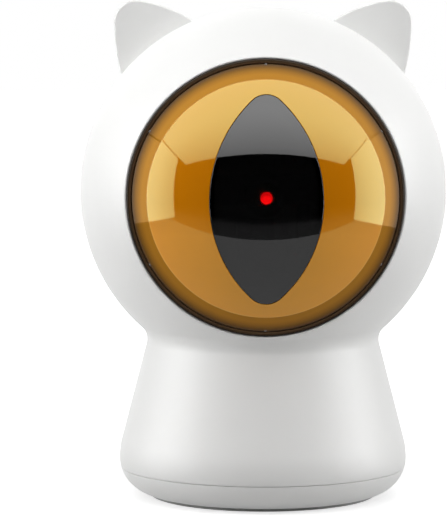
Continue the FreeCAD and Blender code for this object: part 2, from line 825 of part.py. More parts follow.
def battery_door():
    """Door with a round hinge edge, two moulded pins and a finger grip."""
    half_thickness = door_thickness / 2
    plate = door_outline(0, underside_z, underside_z + door_thickness)
    square_edge = block((-door_hinge_half_length, door_axis_y, underside_z),
                        (door_hinge_half_length, door_width, underside_z + door_thickness))
    edge = rod(half_thickness, (-door_hinge_half_length, door_axis_y, door_axis_z),
               (door_hinge_half_length, door_axis_y, door_axis_z))
    reach = door_hinge_half_length + door_pin_length
    pins = rod(door_pin_radius, (-reach, door_axis_y, door_axis_z), (reach, door_axis_y, door_axis_z))
    door = fused([plate.cut(square_edge), edge, pins])
    grip_y = -door_width / 2 + door_grip_radius + door_grip_inset
    grip = rod(door_grip_radius, (0, grip_y, underside_z - 1.0),
               (0, grip_y, underside_z + door_grip_depth))
    return door.cut(grip.cut(half_space(low_y=grip_y)))


def cell_places():
    """Middles of the cells, with the way their nub points."""
    return [(V(0, (index - (cell_count - 1) / 2) * cell_pitch, cell_z), 1 if index % 2 == 0 else -1)
            for index in range(cell_count)]


def aaa_cells():
    """Three AAA cells, turned head to tail."""
    cells = []
    for middle, way in cell_places():
        can_end = middle + V(way * (cell_length / 2 - cell_nub_length), 0, 0)
        can = rod(cell_radius, middle - V(way * cell_length / 2, 0, 0), can_end)
        nub = rod(cell_nub_radius, can_end, middle + V(way * cell_length / 2, 0, 0))
        cells.append(can.fuse(nub))
    return Part.makeCompound(cells)


def battery_box():
    """Box over the cells, open towards the door."""
    outer = rounded_plate(box_outer_length, box_outer_width, box_corner, bay_floor_z, box_top)
    inner = rounded_plate(box_half_length, box_half_width, box_corner - box_wall,
                          bay_floor_z - 1.0, box_inner_top)
    return outer.cut(inner)


def battery_contacts():
    """A plate with a bowed leaf at each end of each cell."""
    contacts = []
    plate_face = box_half_length - contact_thickness
    for middle, _ in cell_places():
        for side in (1, -1):
            low = V(side * plate_face, middle.y - contact_width / 2, bay_floor_z + fit_gap)
            high = V(side * box_half_length, middle.y + contact_width / 2,
                     box_inner_top - box_top_room)
            plate = block((min(low.x, high.x), low.y, low.z), (max(low.x, high.x), high.y, high.z))
            crest = cell_length / 2
            outline = [(plate_face, -contact_bow / 2), (crest, -leaf_thickness),
                       (crest, leaf_thickness), (plate_face, contact_bow / 2),
                       (plate_face, contact_bow / 2 - 1.5 * leaf_thickness),
                       (crest + leaf_thickness, 0),
                       (plate_face, -contact_bow / 2 + 1.5 * leaf_thickness)]
            points = [V(side * x, middle.y + y, cell_z - cell_nub_radius) for x, y in outline]
            leaf = Part.Face(Part.makePolygon(points + points[:1])).extrude(
                V(0, 0, 2 * cell_nub_radius))
            contacts.append(plate.fuse(leaf).removeSplitter())
    return Part.makeCompound(contacts)


# ---------------------------------------------------------------- frame and gears
def mid_frame():
    """Plate on four legs, with the seats of the pan bush and the pan motor."""
    plate = rod(plate_radius, (0, 0, plate_z), (0, 0, plate_top))
    plate = plate.common(half_space(high_y=board_y - plate_board_gap))
    legs = [rod(leg_radius, (place.x, place.y, floor_boss_top), (place.x, place.y, plate_top))
            for place in leg_places()]
    frame = fused([plate] + legs)
    slot_x, slot_y = wire_slot
    low, high = plate_z - 1.0, plate_top + 1.0
    cuts = [rod(pan_shaft_radius + running_gap + pan_bush_wall + running_gap, (0, 0, low),
                (0, 0, high)),
            rod(motor_boss_radius + fit_gap, (0, pan_motor_y, low), (0, pan_motor_y, high)),
            block((-slot_x / 2, wire_slot_y - slot_y / 2, low),
                  (slot_x / 2, wire_slot_y + slot_y / 2, high))]
    for x in (pan_motor_screw_x, -pan_motor_screw_x):
        cuts.append(rod(small_screw[0] + clearance_hole_gap, (x, pan_motor_y, low),
                        (x, pan_motor_y, high)))
    for place in leg_places():
        cuts.append(rod(case_screw[0] + pilot_gap, (place.x, place.y, floor_boss_top),
                        (place.x, place.y, floor_boss_top + floor_pilot_depth)))
    return frame.cut(cuts)


def involute_gear(teeth, addendum, width):
    """Spur gear on +Z from z = 0, with the middle of a tooth on +X."""
    pitch = gear_module * teeth / 2
    pressure = math.radians(pressure_angle_deg)
    base = pitch * math.cos(pressure)
    tip = pitch + addendum * gear_module
    root = pitch - tooth_dedendum * gear_module
    half_tooth = math.pi / (2 * teeth) - tooth_backlash / (2 * pitch)

    def involute(angle):
        return math.tan(angle) - angle

    def polar(radius, turn):
        return V(radius * math.cos(turn), radius * math.sin(turn), 0)

    def half_angle(radius):
        return half_tooth + involute(pressure) - involute(math.acos(min(1.0, base / radius)))

    start = max(base, root)
    radii = [start + (tip - start) * step / 4 for step in range(5)]
    pitch_angle = 2 * math.pi / teeth
    edges = []
    for tooth in range(teeth):
        middle = tooth * pitch_angle
        for side in (-1, 1):
            ordered = radii if side < 0 else radii[::-1]
            flank = Part.BSplineCurve()
            flank.interpolate([polar(r, middle + side * half_angle(r)) for r in ordered])
            foot = [polar(root, middle + side * half_angle(start)),
                    polar(start, middle + side * half_angle(start))]
            leg = [Part.makeLine(*(foot if side < 0 else foot[::-1]))] if root < base else []
            if side < 0:
                edges += leg + [flank.toShape()]
                edges.append(Part.Arc(polar(tip, middle - half_angle(tip)), polar(tip, middle),
                                      polar(tip, middle + half_angle(tip))).toShape())
            else:
                edges += [flank.toShape()] + leg
        gap_middle = middle + pitch_angle / 2
        edges.append(Part.Arc(polar(root, middle + half_angle(start)), polar(root, gap_middle),
                              polar(root, middle + pitch_angle - half_angle(start))).toShape())
    return Part.Face(Part.Wire(edges)).extrude(V(0, 0, width))


def aimed(shape, centre, axis, tooth_way):
    """A gear moved to centre, turned to axis, with its first tooth along tooth_way."""
    shape = shape.copy()
    turn = FreeCAD.Rotation(tooth_way, axis.cross(tooth_way), axis, "ZXY")
    shape.Placement = FreeCAD.Placement(centre, turn)
    return shape


def pinion_tooth_way(axis, to_wheel):
    """Way of a pinion's first tooth that puts a tooth space towards the wheel."""
    return FreeCAD.Rotation(axis, 180 / pinion_teeth).multVec(to_wheel)


def pinion(centre, axis, to_wheel):
    """Pinion with its bore, starting at centre and running along axis."""
    gear = involute_gear(pinion_teeth, pinion_addendum, gear_width)
    gear = gear.cut(rod(motor_shaft_radius, (0, 0, -1.0), (0, 0, gear_width + 1.0)))
    return aimed(gear, centre, axis, pinion_tooth_way(axis, to_wheel))


# ---------------------------------------------------------------- pan stage
def pan_bush():
    """Flanged bush in the frame's plate."""
    bore = pan_shaft_radius + running_gap
    sleeve = tube(bore + pan_bush_wall, bore, (0, 0, plate_z), (0, 0, plate_top))
    flange = tube(pan_bush_flange_radius, bore, (0, 0, plate_top), (0, 0, plate_top + pan_bush_flange))
    return sleeve.fuse(flange).removeSplitter()


def pan_motor():
    """Motor can under the plate, with a boss that centres it."""
    middle = V(0, pan_motor_y, 0)
    can = rod(pan_motor_radius, middle + V(0, 0, plate_z - pan_motor_length), middle + V(0, 0, plate_z))
    boss = rod(motor_boss_radius, middle + V(0, 0, plate_z), middle + V(0, 0, plate_top))
    cuts = [rod(motor_shaft_radius + running_gap, middle + V(0, 0, plate_z - pan_motor_length / 2),
                middle + V(0, 0, plate_top + 1.0))]
    for x in (pan_motor_screw_x, -pan_motor_screw_x):
        cuts.append(rod(small_screw[0] + pilot_gap,
                        (x, pan_motor_y, plate_z - pan_motor_screw_depth - fit_gap),
                        (x, pan_motor_y, plate_z)))
    return fused([can, boss]).cut(cuts)


def pan_motor_screws():
    """Two screws from the plate into the pan motor."""
    length = plate_thickness + pan_motor_screw_depth
    return Part.makeCompound([screw(small_screw, (x, pan_motor_y, plate_top), (0, 0, -1), length)
                              for x in (pan_motor_screw_x, -pan_motor_screw_x)])


def pan_motor_shaft():
    """Shaft that carries the pan pinion."""
    return rod(motor_shaft_radius, (0, pan_motor_y, plate_z - pan_motor_length / 2 + fit_gap),
               (0, pan_motor_y, pan_wheel_top + pan_lens_gap / 2))


def pan_pinion():
    """Pinion on the pan motor's shaft."""
    return pinion(V(0, pan_motor_y, pan_wheel_z), V(0, 0, 1), V(0, 1, 0))


def pan_clip():
    """Clip in the groove of the pan shaft, under the plate."""
    ring = tube(pan_clip_radius, pan_shaft_radius - pan_clip_groove,
                (0, 0, pan_clip_top - pan_clip_thickness), (0, 0, pan_clip_top))
    mouth = block((-pan_shaft_radius * 0.6, 0, pan_clip_top - 2 * pan_clip_thickness),
                  (pan_shaft_radius * 0.6, pan_clip_radius * 2, pan_clip_top + 1.0))
    return ring.cut(mouth)


def pan_yoke():
    """Pan wheel, shaft, bridge, arms and motor saddle in one moulding."""
    wheel = aimed(involute_gear(wheel_teeth, wheel_addendum, gear_width),
                  V(0, 0, pan_wheel_z), V(0, 0, 1), V(0, -1, 0))
    shaft_end = pan_clip_top - pan_clip_thickness - pan_shaft_tail
    shaft = rod(pan_shaft_radius, (0, 0, shaft_end), (0, 0, pan_wheel_z))
    hub = rod(pan_hub_radius, (0, 0, pan_hub_z), (0, 0, bridge_top))
    bridge = block((-arm_outer_x, -bridge_half_width, bridge_bottom),
                   (arm_outer_x, bridge_half_width, bridge_top))
    shapes = [wheel, shaft, hub, bridge]
    for side in (1, -1):
        low_x, high_x = sorted((side * arm_inner_x, side * arm_outer_x))
        shapes.append(block((low_x, -arm_half_width, bridge_bottom),
                            (high_x, arm_half_width, head_centre_z)))
        shapes.append(rod(arm_half_width, (low_x, 0, head_centre_z), (high_x, 0, head_centre_z)))
    middle = tilt_motor_centre
    foot_z = bridge_top + saddle_foot_z
    ear_reach = tilt_motor_radius + strap_thickness + saddle_ear
    shapes.append(block((-saddle_half_length, middle.y - saddle_foot_half_width, bridge_bottom),
                        (saddle_half_length, middle.y + saddle_foot_half_width, foot_z)))
    shapes.append(block((-saddle_half_length, middle.y - ear_reach, foot_z - 1.0),
                        (saddle_half_length, middle.y + ear_reach, middle.z)))
    solid = fused(shapes)
    groove = tube(2 * pan_shaft_radius, pan_shaft_radius - pan_clip_groove,
                  (0, 0, pan_clip_top - pan_clip_thickness), (0, 0, pan_clip_top))
    cuts = [groove, rod(tilt_motor_radius + running_gap, middle - V(far, 0, 0), middle + V(far, 0, 0)),
            rod(tilt_bush_radius + running_gap, (-far, 0, head_centre_z), (far, 0, head_centre_z))]
    for place in strap_screw_places():
        cuts.append(rod(small_screw[0] + pilot_gap, place, place - V(0, 0, strap_screw_length)))
    return solid.cut(cuts)


# ---------------------------------------------------------------- tilt stage
def strap_screw_places():
    """Middles of the strap's screws, at the saddle's top."""
    reach = tilt_motor_radius + strap_thickness + saddle_ear / 2
    return [tilt_motor_centre + V(0, side * reach, 0) for side in (1, -1)]


def motor_strap():
    """Strap over the tilt motor."""
    middle = tilt_motor_centre
    low = middle - V(strap_half_width, 0, 0)
    high = middle + V(strap_half_width, 0, 0)
    bore = tilt_motor_radius + running_gap
    band = tube(bore + strap_thickness, bore, low, high)
    reach = tilt_motor_radius + strap_thickness + saddle_ear
    ears = block((low.x, middle.y - reach, middle.z), (high.x, middle.y + reach, middle.z + strap_thickness))
    strap = band.fuse(ears.cut(rod(bore, low - V(1, 0, 0), high + V(1, 0, 0))))
    strap = strap.common(half_space(low_z=middle.z + running_gap / 5))
    holes = [rod(small_screw[0] + clearance_hole_gap, place - V(0, 0, 1), place + V(0, 0, far))
             for place in strap_screw_places()]
    return strap.cut(holes).removeSplitter()


def strap_screws():
    """Two screws that hold the strap."""
    return Part.makeCompound([screw(small_screw, place + V(0, 0, strap_thickness), (0, 0, -1),
                                    strap_screw_length) for place in strap_screw_places()])


def tilt_motor():
    """Small motor across the yoke."""
    reach = V(tilt_motor_half_length, 0, 0)
    boss = V(tilt_motor_half_length + 1.0, 0, 0)
    can = rod(tilt_motor_radius, tilt_motor_centre - reach, tilt_motor_centre + reach)
    can = can.fuse(rod(motor_boss_radius, tilt_motor_centre, tilt_motor_centre + boss))
    return can.cut(rod(motor_shaft_radius + running_gap, tilt_motor_centre,
                       tilt_motor_centre + boss * 2)).removeSplitter()


def tilt_motor_shaft():
    """Shaft that carries the tilt pinion."""
    return rod(motor_shaft_radius, tilt_motor_centre + V(fit_gap, 0, 0),
               tilt_motor_centre + V(tilt_wheel_x + gear_width + 0.5, 0, 0))


def tilt_pinion():
    """Pinion on the tilt motor's shaft."""
    return pinion(tilt_motor_centre + V(tilt_wheel_x, 0, 0), V(1, 0, 0), -tilt_pinion_way)


def tilt_bushes():
    """Flanged bushes in the arms of the yoke."""
    bushes = []
    for side in (1, -1):
        inner = V(side * (arm_inner_x - tilt_bush_flange), 0, head_centre_z)
        seat = V(side * arm_inner_x, 0, head_centre_z)
        outer = V(side * arm_outer_x, 0, head_centre_z)
        flange = tube(tilt_bush_flange_radius, trunnion_bore, inner, seat)
        bushes.append(tube(tilt_bush_radius, trunnion_bore, seat, outer).fuse(flange).removeSplitter())
    return Part.makeCompound(bushes)


def sector_wedge():
    """Wedge that cuts the tilt wheel down to the stretch its travel needs."""
    reach = 2 * wheel_radius
    middle = -tilt_pinion_below_deg - (tilt_down_deg - tilt_up_deg) / 2
    half = (tilt_down_deg + tilt_up_deg) / 2 + sector_margin_deg
    edge_points = [V(tilt_wheel_x - 1.0, 0, head_centre_z)]
    for degrees in (middle - half, middle, middle + half):
        turn = math.radians(degrees)
        edge_points.append(V(tilt_wheel_x - 1.0, reach * math.cos(turn),
                             head_centre_z + reach * math.sin(turn)))
    outline = Part.makePolygon(edge_points + edge_points[:1])
    return Part.Face(outline).extrude(V(gear_width + 2.0, 0, 0))


def laser_rod(radius, back, front):
    """Round bar on the laser's own axis, a little above the lens axis."""
    rise = V(0, 0, laser_rise)
    return rod(radius, lens_axis_point(back) + rise, lens_axis_point(front) + rise)


def laser_cradle():
    """Tube for the laser on a cross shaft with trunnions, with the tilt wheel's sector."""
    wheel = aimed(involute_gear(wheel_teeth, wheel_addendum, gear_width),
                  V(tilt_wheel_x, 0, head_centre_z), V(1, 0, 0), tilt_pinion_way)
    shaft_end = arm_inner_x - tilt_bush_flange - fit_gap
    shaft = rod(cross_shaft_radius, (-shaft_end, 0, head_centre_z), (shaft_end, 0, head_centre_z))
    pins = rod(trunnion_radius, (-arm_outer_x, 0, head_centre_z), (arm_outer_x, 0, head_centre_z))
    barrel = rod(cradle_tube_radius, lens_axis_point(-cradle_back), lens_axis_point(cradle_front))
    cradle = fused([shaft, pins, barrel, wheel.common(sector_wedge())])
    return cradle.cut(laser_rod(laser_radius + running_gap / 2, -laser_back, 2 * cradle_front))


def laser_barrel():
    """Brass housing of the laser diode, with a stepped nose."""
    step = laser_tip - laser_nose_length
    barrel = laser_rod(laser_radius, -laser_back, step).fuse(
        laser_rod(laser_nose_radius, step, laser_tip))
    seat = laser_rod(laser_lens_radius + running_gap / 2,
                     laser_tip + laser_lens_proud - laser_lens_length, laser_tip + 1.0)
    return barrel.cut(seat).removeSplitter()


def laser_lens():
    """Lens in the laser's nose, with a domed front."""
    front = laser_tip + laser_lens_proud
    lens = laser_rod(laser_lens_radius, front - laser_lens_length, front)
    rim = [edge for edge in lens.Edges if edge.Closed and abs(edge.Vertexes[0].Y + front) < 1e-6]
    return lens.makeFillet(laser_lens_radius / 3, rim)


# ---------------------------------------------------------------- electronics
def board_screw_places(y):
    """Places of the four board screws at a depth."""
    return mirrored([(board_screw_x, y, board_bottom_z + board_screw_inset),
                     (board_screw_x, y, board_top_z - board_screw_inset)])


def main_board():
    """Circuit board that stands behind the battery box."""
    board = block((-board_half_width, board_y, board_bottom_z),
                  (board_half_width, board_back_y, board_top_z))
    holes = [rod(small_screw[0] + clearance_hole_gap, place - V(0, 1, 0),
                 place + V(0, board_thickness + 1, 0)) for place in board_screw_places(board_y)]
    return board.cut(holes)


def board_screws():
    """Screws of the circuit board."""
    return Part.makeCompound([screw(small_screw, place, (0, 1, 0), board_screw_length)
                              for place in board_screw_places(board_y)])


def chip(size, x, low_z, face_y):
    """Flat block on the board's front, from its lower edge up."""
    width, height, thickness = size
    return block((x - width / 2, face_y - thickness, low_z), (x + width / 2, face_y, low_z + height))


def wifi_module():
    """Radio module with its shield can."""
    low_z = board_top_z - radio_below_top - radio_board[1]
    base = chip(radio_board, 0, low_z, board_y)
    can = chip(radio_can, (radio_can[0] - radio_board[0]) / 2 + radio_board[2],
               low_z + (radio_board[1] - radio_can[1]) / 2, board_y - radio_board[2])
    return base.fuse(can).removeSplitter()


def control_chips():
    """Motor driver, controller and status light on the board."""
    chip_low = board_bottom_z + chip_up
    controller = chip(controller_chip, 0, chip_low, board_y)
    driver = chip(driver_chip, driver_x, chip_low + controller_chip[1] + chip_gap, board_y)
    light = block((light_x - led_half_width, board_back_y, light_z - led_half_width),
                  (light_x + led_half_width, board_back_y + led_height, light_z + led_half_width))
    return Part.makeCompound([controller, driver, light])


def usb_prism(grow, start_y, end_y):
    """Bar with the round-ended section of the socket, grown all round."""
    radius = usb_half_height + grow
    reach = usb_half_width - usb_half_height
    bar = block((-reach, start_y, usb_z - radius), (reach, end_y, usb_z + radius))
    ends = [rod(radius, (side * reach, start_y, usb_z), (side * reach, end_y, usb_z))
            for side in (1, -1)]
    return fused([bar] + ends)


def usb_socket():
    """Power socket on the board, set a little into the wall."""
    end_y = skirt_outer_radius(usb_z) - usb_set_in
    body = usb_prism(0, board_back_y, end_y)
    body = body.cut(usb_prism(-usb_shell, board_back_y + usb_mouth_start, 2 * widest_radius))
    half_x, half_z = usb_tongue
    tongue = block((-half_x, board_back_y + usb_mouth_start / 2, usb_z - half_z),
                   (half_x, end_y - usb_tongue_set_in, usb_z + half_z))
    return fused([body, tongue])


def tact_switch():
    """Body of the push switch."""
    half = switch_half_width
    body = block((-half, board_back_y, button_z - half), (half, switch_top_y, button_z + half))
    bore_end = switch_top_y - plunger_depth - button_travel - fit_gap
    return body.cut(rod(plunger_radius + fit_gap, (0, bore_end, button_z),
                        (0, plunger_top_y, button_z)))


def switch_plunger():
    """Plunger of the push switch, which moves with the button."""
    return rod(plunger_radius, (0, switch_top_y - plunger_depth, button_z),
               (0, plunger_top_y, button_z))


def power_button():
    """Round button with an inner flange and a stem on the switch."""
    cap_end = skirt_outer_radius(button_z) + button_proud
    cap = rod(button_radius, (0, button_flange_back, button_z), (0, cap_end, button_z))
    rim = [edge for edge in cap.Edges if edge.Closed and abs(edge.Vertexes[0].Y - cap_end) < 1e-6]
    cap = cap.makeFillet(button_crown, rim)
    flange = rod(button_flange_radius, (0, button_flange_back, button_z),
                 (0, button_seat_y - fit_gap, button_z))
    stem = rod(button_stem_radius, (0, plunger_top_y, button_z), (0, button_flange_back, button_z))
    return fused([cap, flange, stem])


def light_pipe():
    """Clear rod from the status light to the outside."""
    pipe = rod(light_radius, (light_x, board_back_y + led_height + running_gap, light_z),
               (light_x, 2 * widest_radius, light_z))
    return pipe.common(body_solid(0))


# ---------------------------------------------------------------- assembly
NODES = {
    "front_shell": front_shell,
    "rear_shell": rear_shell,
    "base_tray": base_tray,
    "foot_ring": foot_ring,
    "shell_screws": shell_screws,
    "floor_screws": floor_screws,
    "bezel_ring": bezel_ring,
    "amber_dome": amber_dome,
    "pupil_window": pupil_window,
    "lens_retainer": lens_retainer,
    "retainer_screws": retainer_screws,
    "battery_door": battery_door,
    "battery_box": battery_box,
    "battery_contacts": battery_contacts,
    "aaa_cells": aaa_cells,
    "mid_frame": mid_frame,
    "pan_bush": pan_bush,
    "pan_motor": pan_motor,
    "pan_motor_screws": pan_motor_screws,
    "pan_motor_shaft": pan_motor_shaft,
    "pan_pinion": pan_pinion,
    "pan_yoke": pan_yoke,
    "pan_clip": pan_clip,
    "tilt_motor": tilt_motor,
    "motor_strap": motor_strap,
    "strap_screws": strap_screws,
    "tilt_motor_shaft": tilt_motor_shaft,
    "tilt_pinion": tilt_pinion,
    "tilt_bushes": tilt_bushes,
    "laser_cradle": laser_cradle,
    "laser_barrel": laser_barrel,
    "laser_lens": laser_lens,
    "main_board": main_board,
    "board_screws": board_screws,
    "wifi_module": wifi_module,
    "control_chips": control_chips,
    "usb_socket": usb_socket,
    "tact_switch": tact_switch,
    "switch_plunger": switch_plunger,
    "power_button": power_button,
    "light_pipe": light_pipe,
}


def main():
    """Write one STEP file for each node."""
    os.makedirs("parts", exist_ok=True)
    for name, make in NODES.items():
        shape = make()
        print(f"{name}: {len(shape.Solids)} solid(s), {shape.Volume:.1f} mm3, valid {shape.isValid()}")
        shape.exportStep(f"parts/{name}.step")


main()
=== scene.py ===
"""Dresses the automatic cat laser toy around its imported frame.

The sub-assembly classes hold their sizes in millimetres and make meshes in metres, in the
frame of the model: the floor is z = 0, the lens faces -Y and +X is on its right as seen
from the front.
"""

import json
import logging
import math
from dataclasses import dataclass
from enum import Enum
from functools import cached_property

import bmesh
import bpy
import numpy as np
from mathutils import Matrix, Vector


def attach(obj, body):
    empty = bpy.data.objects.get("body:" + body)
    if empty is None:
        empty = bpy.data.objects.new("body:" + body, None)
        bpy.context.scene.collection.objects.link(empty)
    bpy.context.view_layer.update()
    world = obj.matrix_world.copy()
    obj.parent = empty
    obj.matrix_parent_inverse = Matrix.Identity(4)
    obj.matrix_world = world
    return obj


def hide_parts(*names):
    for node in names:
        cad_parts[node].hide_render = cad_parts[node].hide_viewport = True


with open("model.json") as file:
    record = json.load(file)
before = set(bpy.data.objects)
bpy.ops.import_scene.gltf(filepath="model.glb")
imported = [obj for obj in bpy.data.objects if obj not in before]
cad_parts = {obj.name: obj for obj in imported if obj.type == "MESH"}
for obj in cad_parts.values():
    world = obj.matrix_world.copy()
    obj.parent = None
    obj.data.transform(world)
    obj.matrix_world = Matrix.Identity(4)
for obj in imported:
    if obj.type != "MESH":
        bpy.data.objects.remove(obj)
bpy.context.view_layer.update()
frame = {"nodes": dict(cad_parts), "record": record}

log = logging.getLogger("cat_laser_toy")
MM = 0.001
WELD_M = 2e-6
SLIVER_M = 1e-7
Array = np.ndarray
Piece = bpy.types.Object
Socket = bpy.types.NodeSocket
# A point lies in a plane and a place in space. A pattern is a noise's features per metre and
# its octaves of detail. Pairs and triples are other values that belong together.
Point = tuple[float, float]
Place = tuple[float, float, float]
Colour = tuple[float, float, float]
Pattern = tuple[float, float]
Pair = tuple[float, float]
Triple = tuple[float, float, float]


class Join(Enum):
    """What other solids do to a piece."""

    ADD = "UNION"
    CUT = "DIFFERENCE"


class Along(Enum):
    """The axis that a bar runs along."""

    Y = "Y"
    Z = "Z"


# ---------------------------------------------------------------- meshes from arrays
def grid_quads(rows: int, columns: int, wrap_rows: bool, wrap_columns: bool) -> Array:
    """Corner numbers of the quads between neighbouring points of a grid.

    Args:
        rows: Points along the first parameter.
        columns: Points along the second parameter.
        wrap_rows: Join the last row to the first.
        wrap_columns: Join the last column to the first.

    Returns:
        An array of shape (quads, 4).
    """
    row = np.arange(rows if wrap_rows else rows - 1)
    column = np.arange(columns if wrap_columns else columns - 1)
    r, c = np.meshgrid(row, column, indexing="ij")
    r_next, c_next = (r + 1) % rows, (c + 1) % columns
    corners = [r * columns + c, r * columns + c_next, r_next * columns + c_next, r_next * columns + c]
    return np.stack(corners, axis=-1).reshape(-1, 4)


@dataclass
class Sheet:
    """A grid of points in millimetres, shape (rows, columns, 3), to be joined into quads."""

    points: Array
    wrap_rows: bool = False
    wrap_columns: bool = False


def solid_mesh(name: str, sheets: list[Sheet]) -> Piece:
    """One closed mesh from sheets that share their border points.

    Args:
        name: Name of the new object.
        sheets: The grids that together enclose the piece.

    Returns:
        The object at the origin, welded, with its faces turned outwards.
    """
    vertices, faces, start = [], [], 0
    for sheet in sheets:
        rows, columns = sheet.points.shape[:2]
        vertices.append(sheet.points.reshape(-1, 3) * MM)
        faces.append(grid_quads(rows, columns, sheet.wrap_rows, sheet.wrap_columns) + start)
        start += rows * columns
    mesh = bpy.data.meshes.new(name)
    mesh.from_pydata(np.concatenate(vertices), [], np.concatenate(faces))
    work = bmesh.new()
    work.from_mesh(mesh)
    bmesh.ops.remove_doubles(work, verts=work.verts, dist=WELD_M)
    bmesh.ops.dissolve_degenerate(work, edges=work.edges, dist=SLIVER_M)
    bmesh.ops.recalc_face_normals(work, faces=work.faces)
    work.to_mesh(mesh)
    work.free()
    return placed(bpy.data.objects.new(name, mesh))


def placed(item: Piece) -> Piece:
    """Puts an object into the scene."""
    bpy.context.scene.collection.objects.link(item)
    return item


def ringed_mesh(name: str, rows: Array | list[Array], wrap_rows: bool = False) -> Piece:
    """One closed mesh from rows that each lead right round the piece."""
    return solid_mesh(name, [Sheet(np.stack(rows), wrap_rows, wrap_columns=True)])


def rounded_edges(piece: Piece, width: float, segments: int = 3, angle_deg: float = 50.0) -> None:
    """Rounds every edge sharper than an angle.

    Args:
        piece: The object.
        width: Width of the round in millimetres.
        segments: Steps across the round.
        angle_deg: Edges that turn by less than this stay.
    """
    bevel = piece.modifiers.new("edge_round", "BEVEL")
    bevel.width = width * MM
    bevel.segments = segments
    bevel.limit_method = "ANGLE"
    bevel.angle_limit = math.radians(angle_deg)
    bevel.use_clamp_overlap = True


def combined(piece: Piece, tools: list[Piece], join: Join) -> None:
    """Joins other solids to a piece, or cuts them out of it, and deletes them.

    Args:
        piece: The object that stays.
        tools: Closed solids that don't touch one another.
        join: Whether they are added or cut out.
    """
    for tool in tools:
        step = piece.modifiers.new("step", "BOOLEAN")
        step.operation = join.value
        step.solver = "EXACT"
        step.object = tool
    settled(piece)
    for tool in tools:
        bpy.data.objects.remove(tool)


def settled(piece: Piece, sharp_deg: float = 35.0) -> Piece:
    """Applies a piece's modifiers and shades it smooth up to an angle.

    Args:
        piece: The object.
        sharp_deg: Edges that turn by more than this stay sharp.

    Returns:
        The same object.
    """
    depsgraph = bpy.context.evaluated_depsgraph_get()
    mesh = bpy.data.meshes.new_from_object(piece.evaluated_get(depsgraph))
    piece.modifiers.clear()
    piece.data = mesh
    mesh.polygons.foreach_set("use_smooth", np.ones(len(mesh.polygons), dtype=bool))
    mesh.set_sharp_from_angle(angle=math.radians(sharp_deg))
    return piece


# ---------------------------------------------------------------- outlines and grids
def points_of(x: Array | float, y: Array | float, z: Array | float) -> Array:
    """Points from three arrays that broadcast to one shape."""
    return np.stack(np.broadcast_arrays(x, y, z), axis=-1)


def full_turn(steps: int) -> Array:
    """Even angles right round, from 0."""
    return np.linspace(0.0, math.tau, steps, endpoint=False)


def turned_about_z(profile: Array, turn: Array) -> Array:
    """Profile turned about Z: the point at radius r, height z and turn t is (r sin t, -r cos t, z).

    Args:
        profile: Radius and height of each point.
        turn: Angles, one row for all the profile's points or one for each.

    Returns:
        A grid with one row for each point of the profile.
    """
    radius, height = profile[:, :1], profile[:, 1:]
    return points_of(radius * np.sin(turn), -radius * np.cos(turn), height)


def arc(centre: Point, radius: float, start_deg: float, end_deg: float, count: int) -> Array:
    """Points of an arc: centre + radius (cos t, sin t) for t from start to end."""
    turn = np.radians(np.linspace(start_deg, end_deg, count))
    return np.column_stack([centre[0] + radius * np.cos(turn), centre[1] + radius * np.sin(turn)])


def arc_through(first: Point, middle: Point, last: Point, count: int) -> Array:
    """Arc through three points of the plane.

    The centre c solves 2 (p - first) . c = |p|^2 - |first|^2 for the other two points p.

    Args:
        first: Where the arc starts.
        middle: A point on its way.
        last: Where it ends.
        count: How many points there are.

    Returns:
        The points, from the first to the last.
    """
    first, middle, last = (np.asarray(p, dtype=float) for p in (first, middle, last))
    rows = 2.0 * np.stack([middle - first, last - first])
    right = np.array([middle @ middle - first @ first, last @ last - first @ first])
    centre = np.linalg.solve(rows, right)
    angles = [math.atan2(*(p - centre)[::-1]) for p in (first, middle, last)]
    sweep = (angles[2] - angles[0]) % math.tau
    if (angles[1] - angles[0]) % math.tau > sweep:
        sweep -= math.tau
    turn = angles[0] + np.linspace(0.0, sweep, count)
    return centre + np.hypot(*(first - centre)) * np.column_stack([np.cos(turn), np.sin(turn)])


def rounded_path(corners: list[Point], radii: list[float], closed: bool = True, steps: int = 6,
                 support: float = 0.05) -> Array:
    """A path whose corners are turned into arcs.

    At a corner where the path turns by t, an arc of radius r starts and ends r tan(t / 2) from
    the corner. One more point beyond each end keeps the shading of the straight runs flat.

    Args:
        corners: Corners (radius, height) or (x, y) in order.
        radii: Radius of each corner's arc.
        closed: Whether the last corner leads back to the first.
        steps: Points on each arc.
        support: Distance of the further points from the arc's ends.

    Returns:
        The points in order.
    """
    corner, radius = np.array(corners, float), np.array(radii, float)[:, None]
    come, go = corner - np.roll(corner, 1, axis=0), np.roll(corner, -1, axis=0) - corner
    come /= np.hypot(come[:, :1], come[:, 1:])
    go /= np.hypot(go[:, :1], go[:, 1:])
    turn = np.arctan2(come[:, 0] * go[:, 1] - come[:, 1] * go[:, 0], (come * go).sum(axis=1))[:, None]
    cut = radius * np.tan(np.abs(turn) / 2.0)
    inward = np.sign(turn) * np.column_stack([-come[:, 1], come[:, 0]])
    centre = corner - cut * come + radius * inward
    swing = turn * np.linspace(0.0, 1.0, steps)
    cosine, sine = np.cos(swing), np.sin(swing)
    spoke = -radius * inward
    curve = np.stack([spoke[:, :1] * cosine - spoke[:, 1:] * sine,
                      spoke[:, :1] * sine + spoke[:, 1:] * cosine], axis=-1) + centre[:, None]
    rows = np.concatenate([(corner - (cut + support) * come)[:, None], curve,
                           (corner + (cut + support) * go)[:, None]], axis=1)
    if closed:
        return rows.reshape(-1, 2)
    return np.concatenate([corner[:1], rows[1:-1].reshape(-1, 2), corner[-1:]])


def round_outline(radius: float, centre: Point = (0.0, 0.0), count: int = 48) -> Array:
    """Points of a circle."""
    return arc(centre, radius, 0.0, 360.0, count + 1)[:-1]


def box_outline(half_x: float, half_y: float, corner: float) -> Array:
    """Points of a rectangle about the origin, its four corners rounded."""
    return rounded_path([(half_x, -half_y), (half_x, half_y), (-half_x, half_y), (-half_x, -half_y)],
                        [corner] * 4)


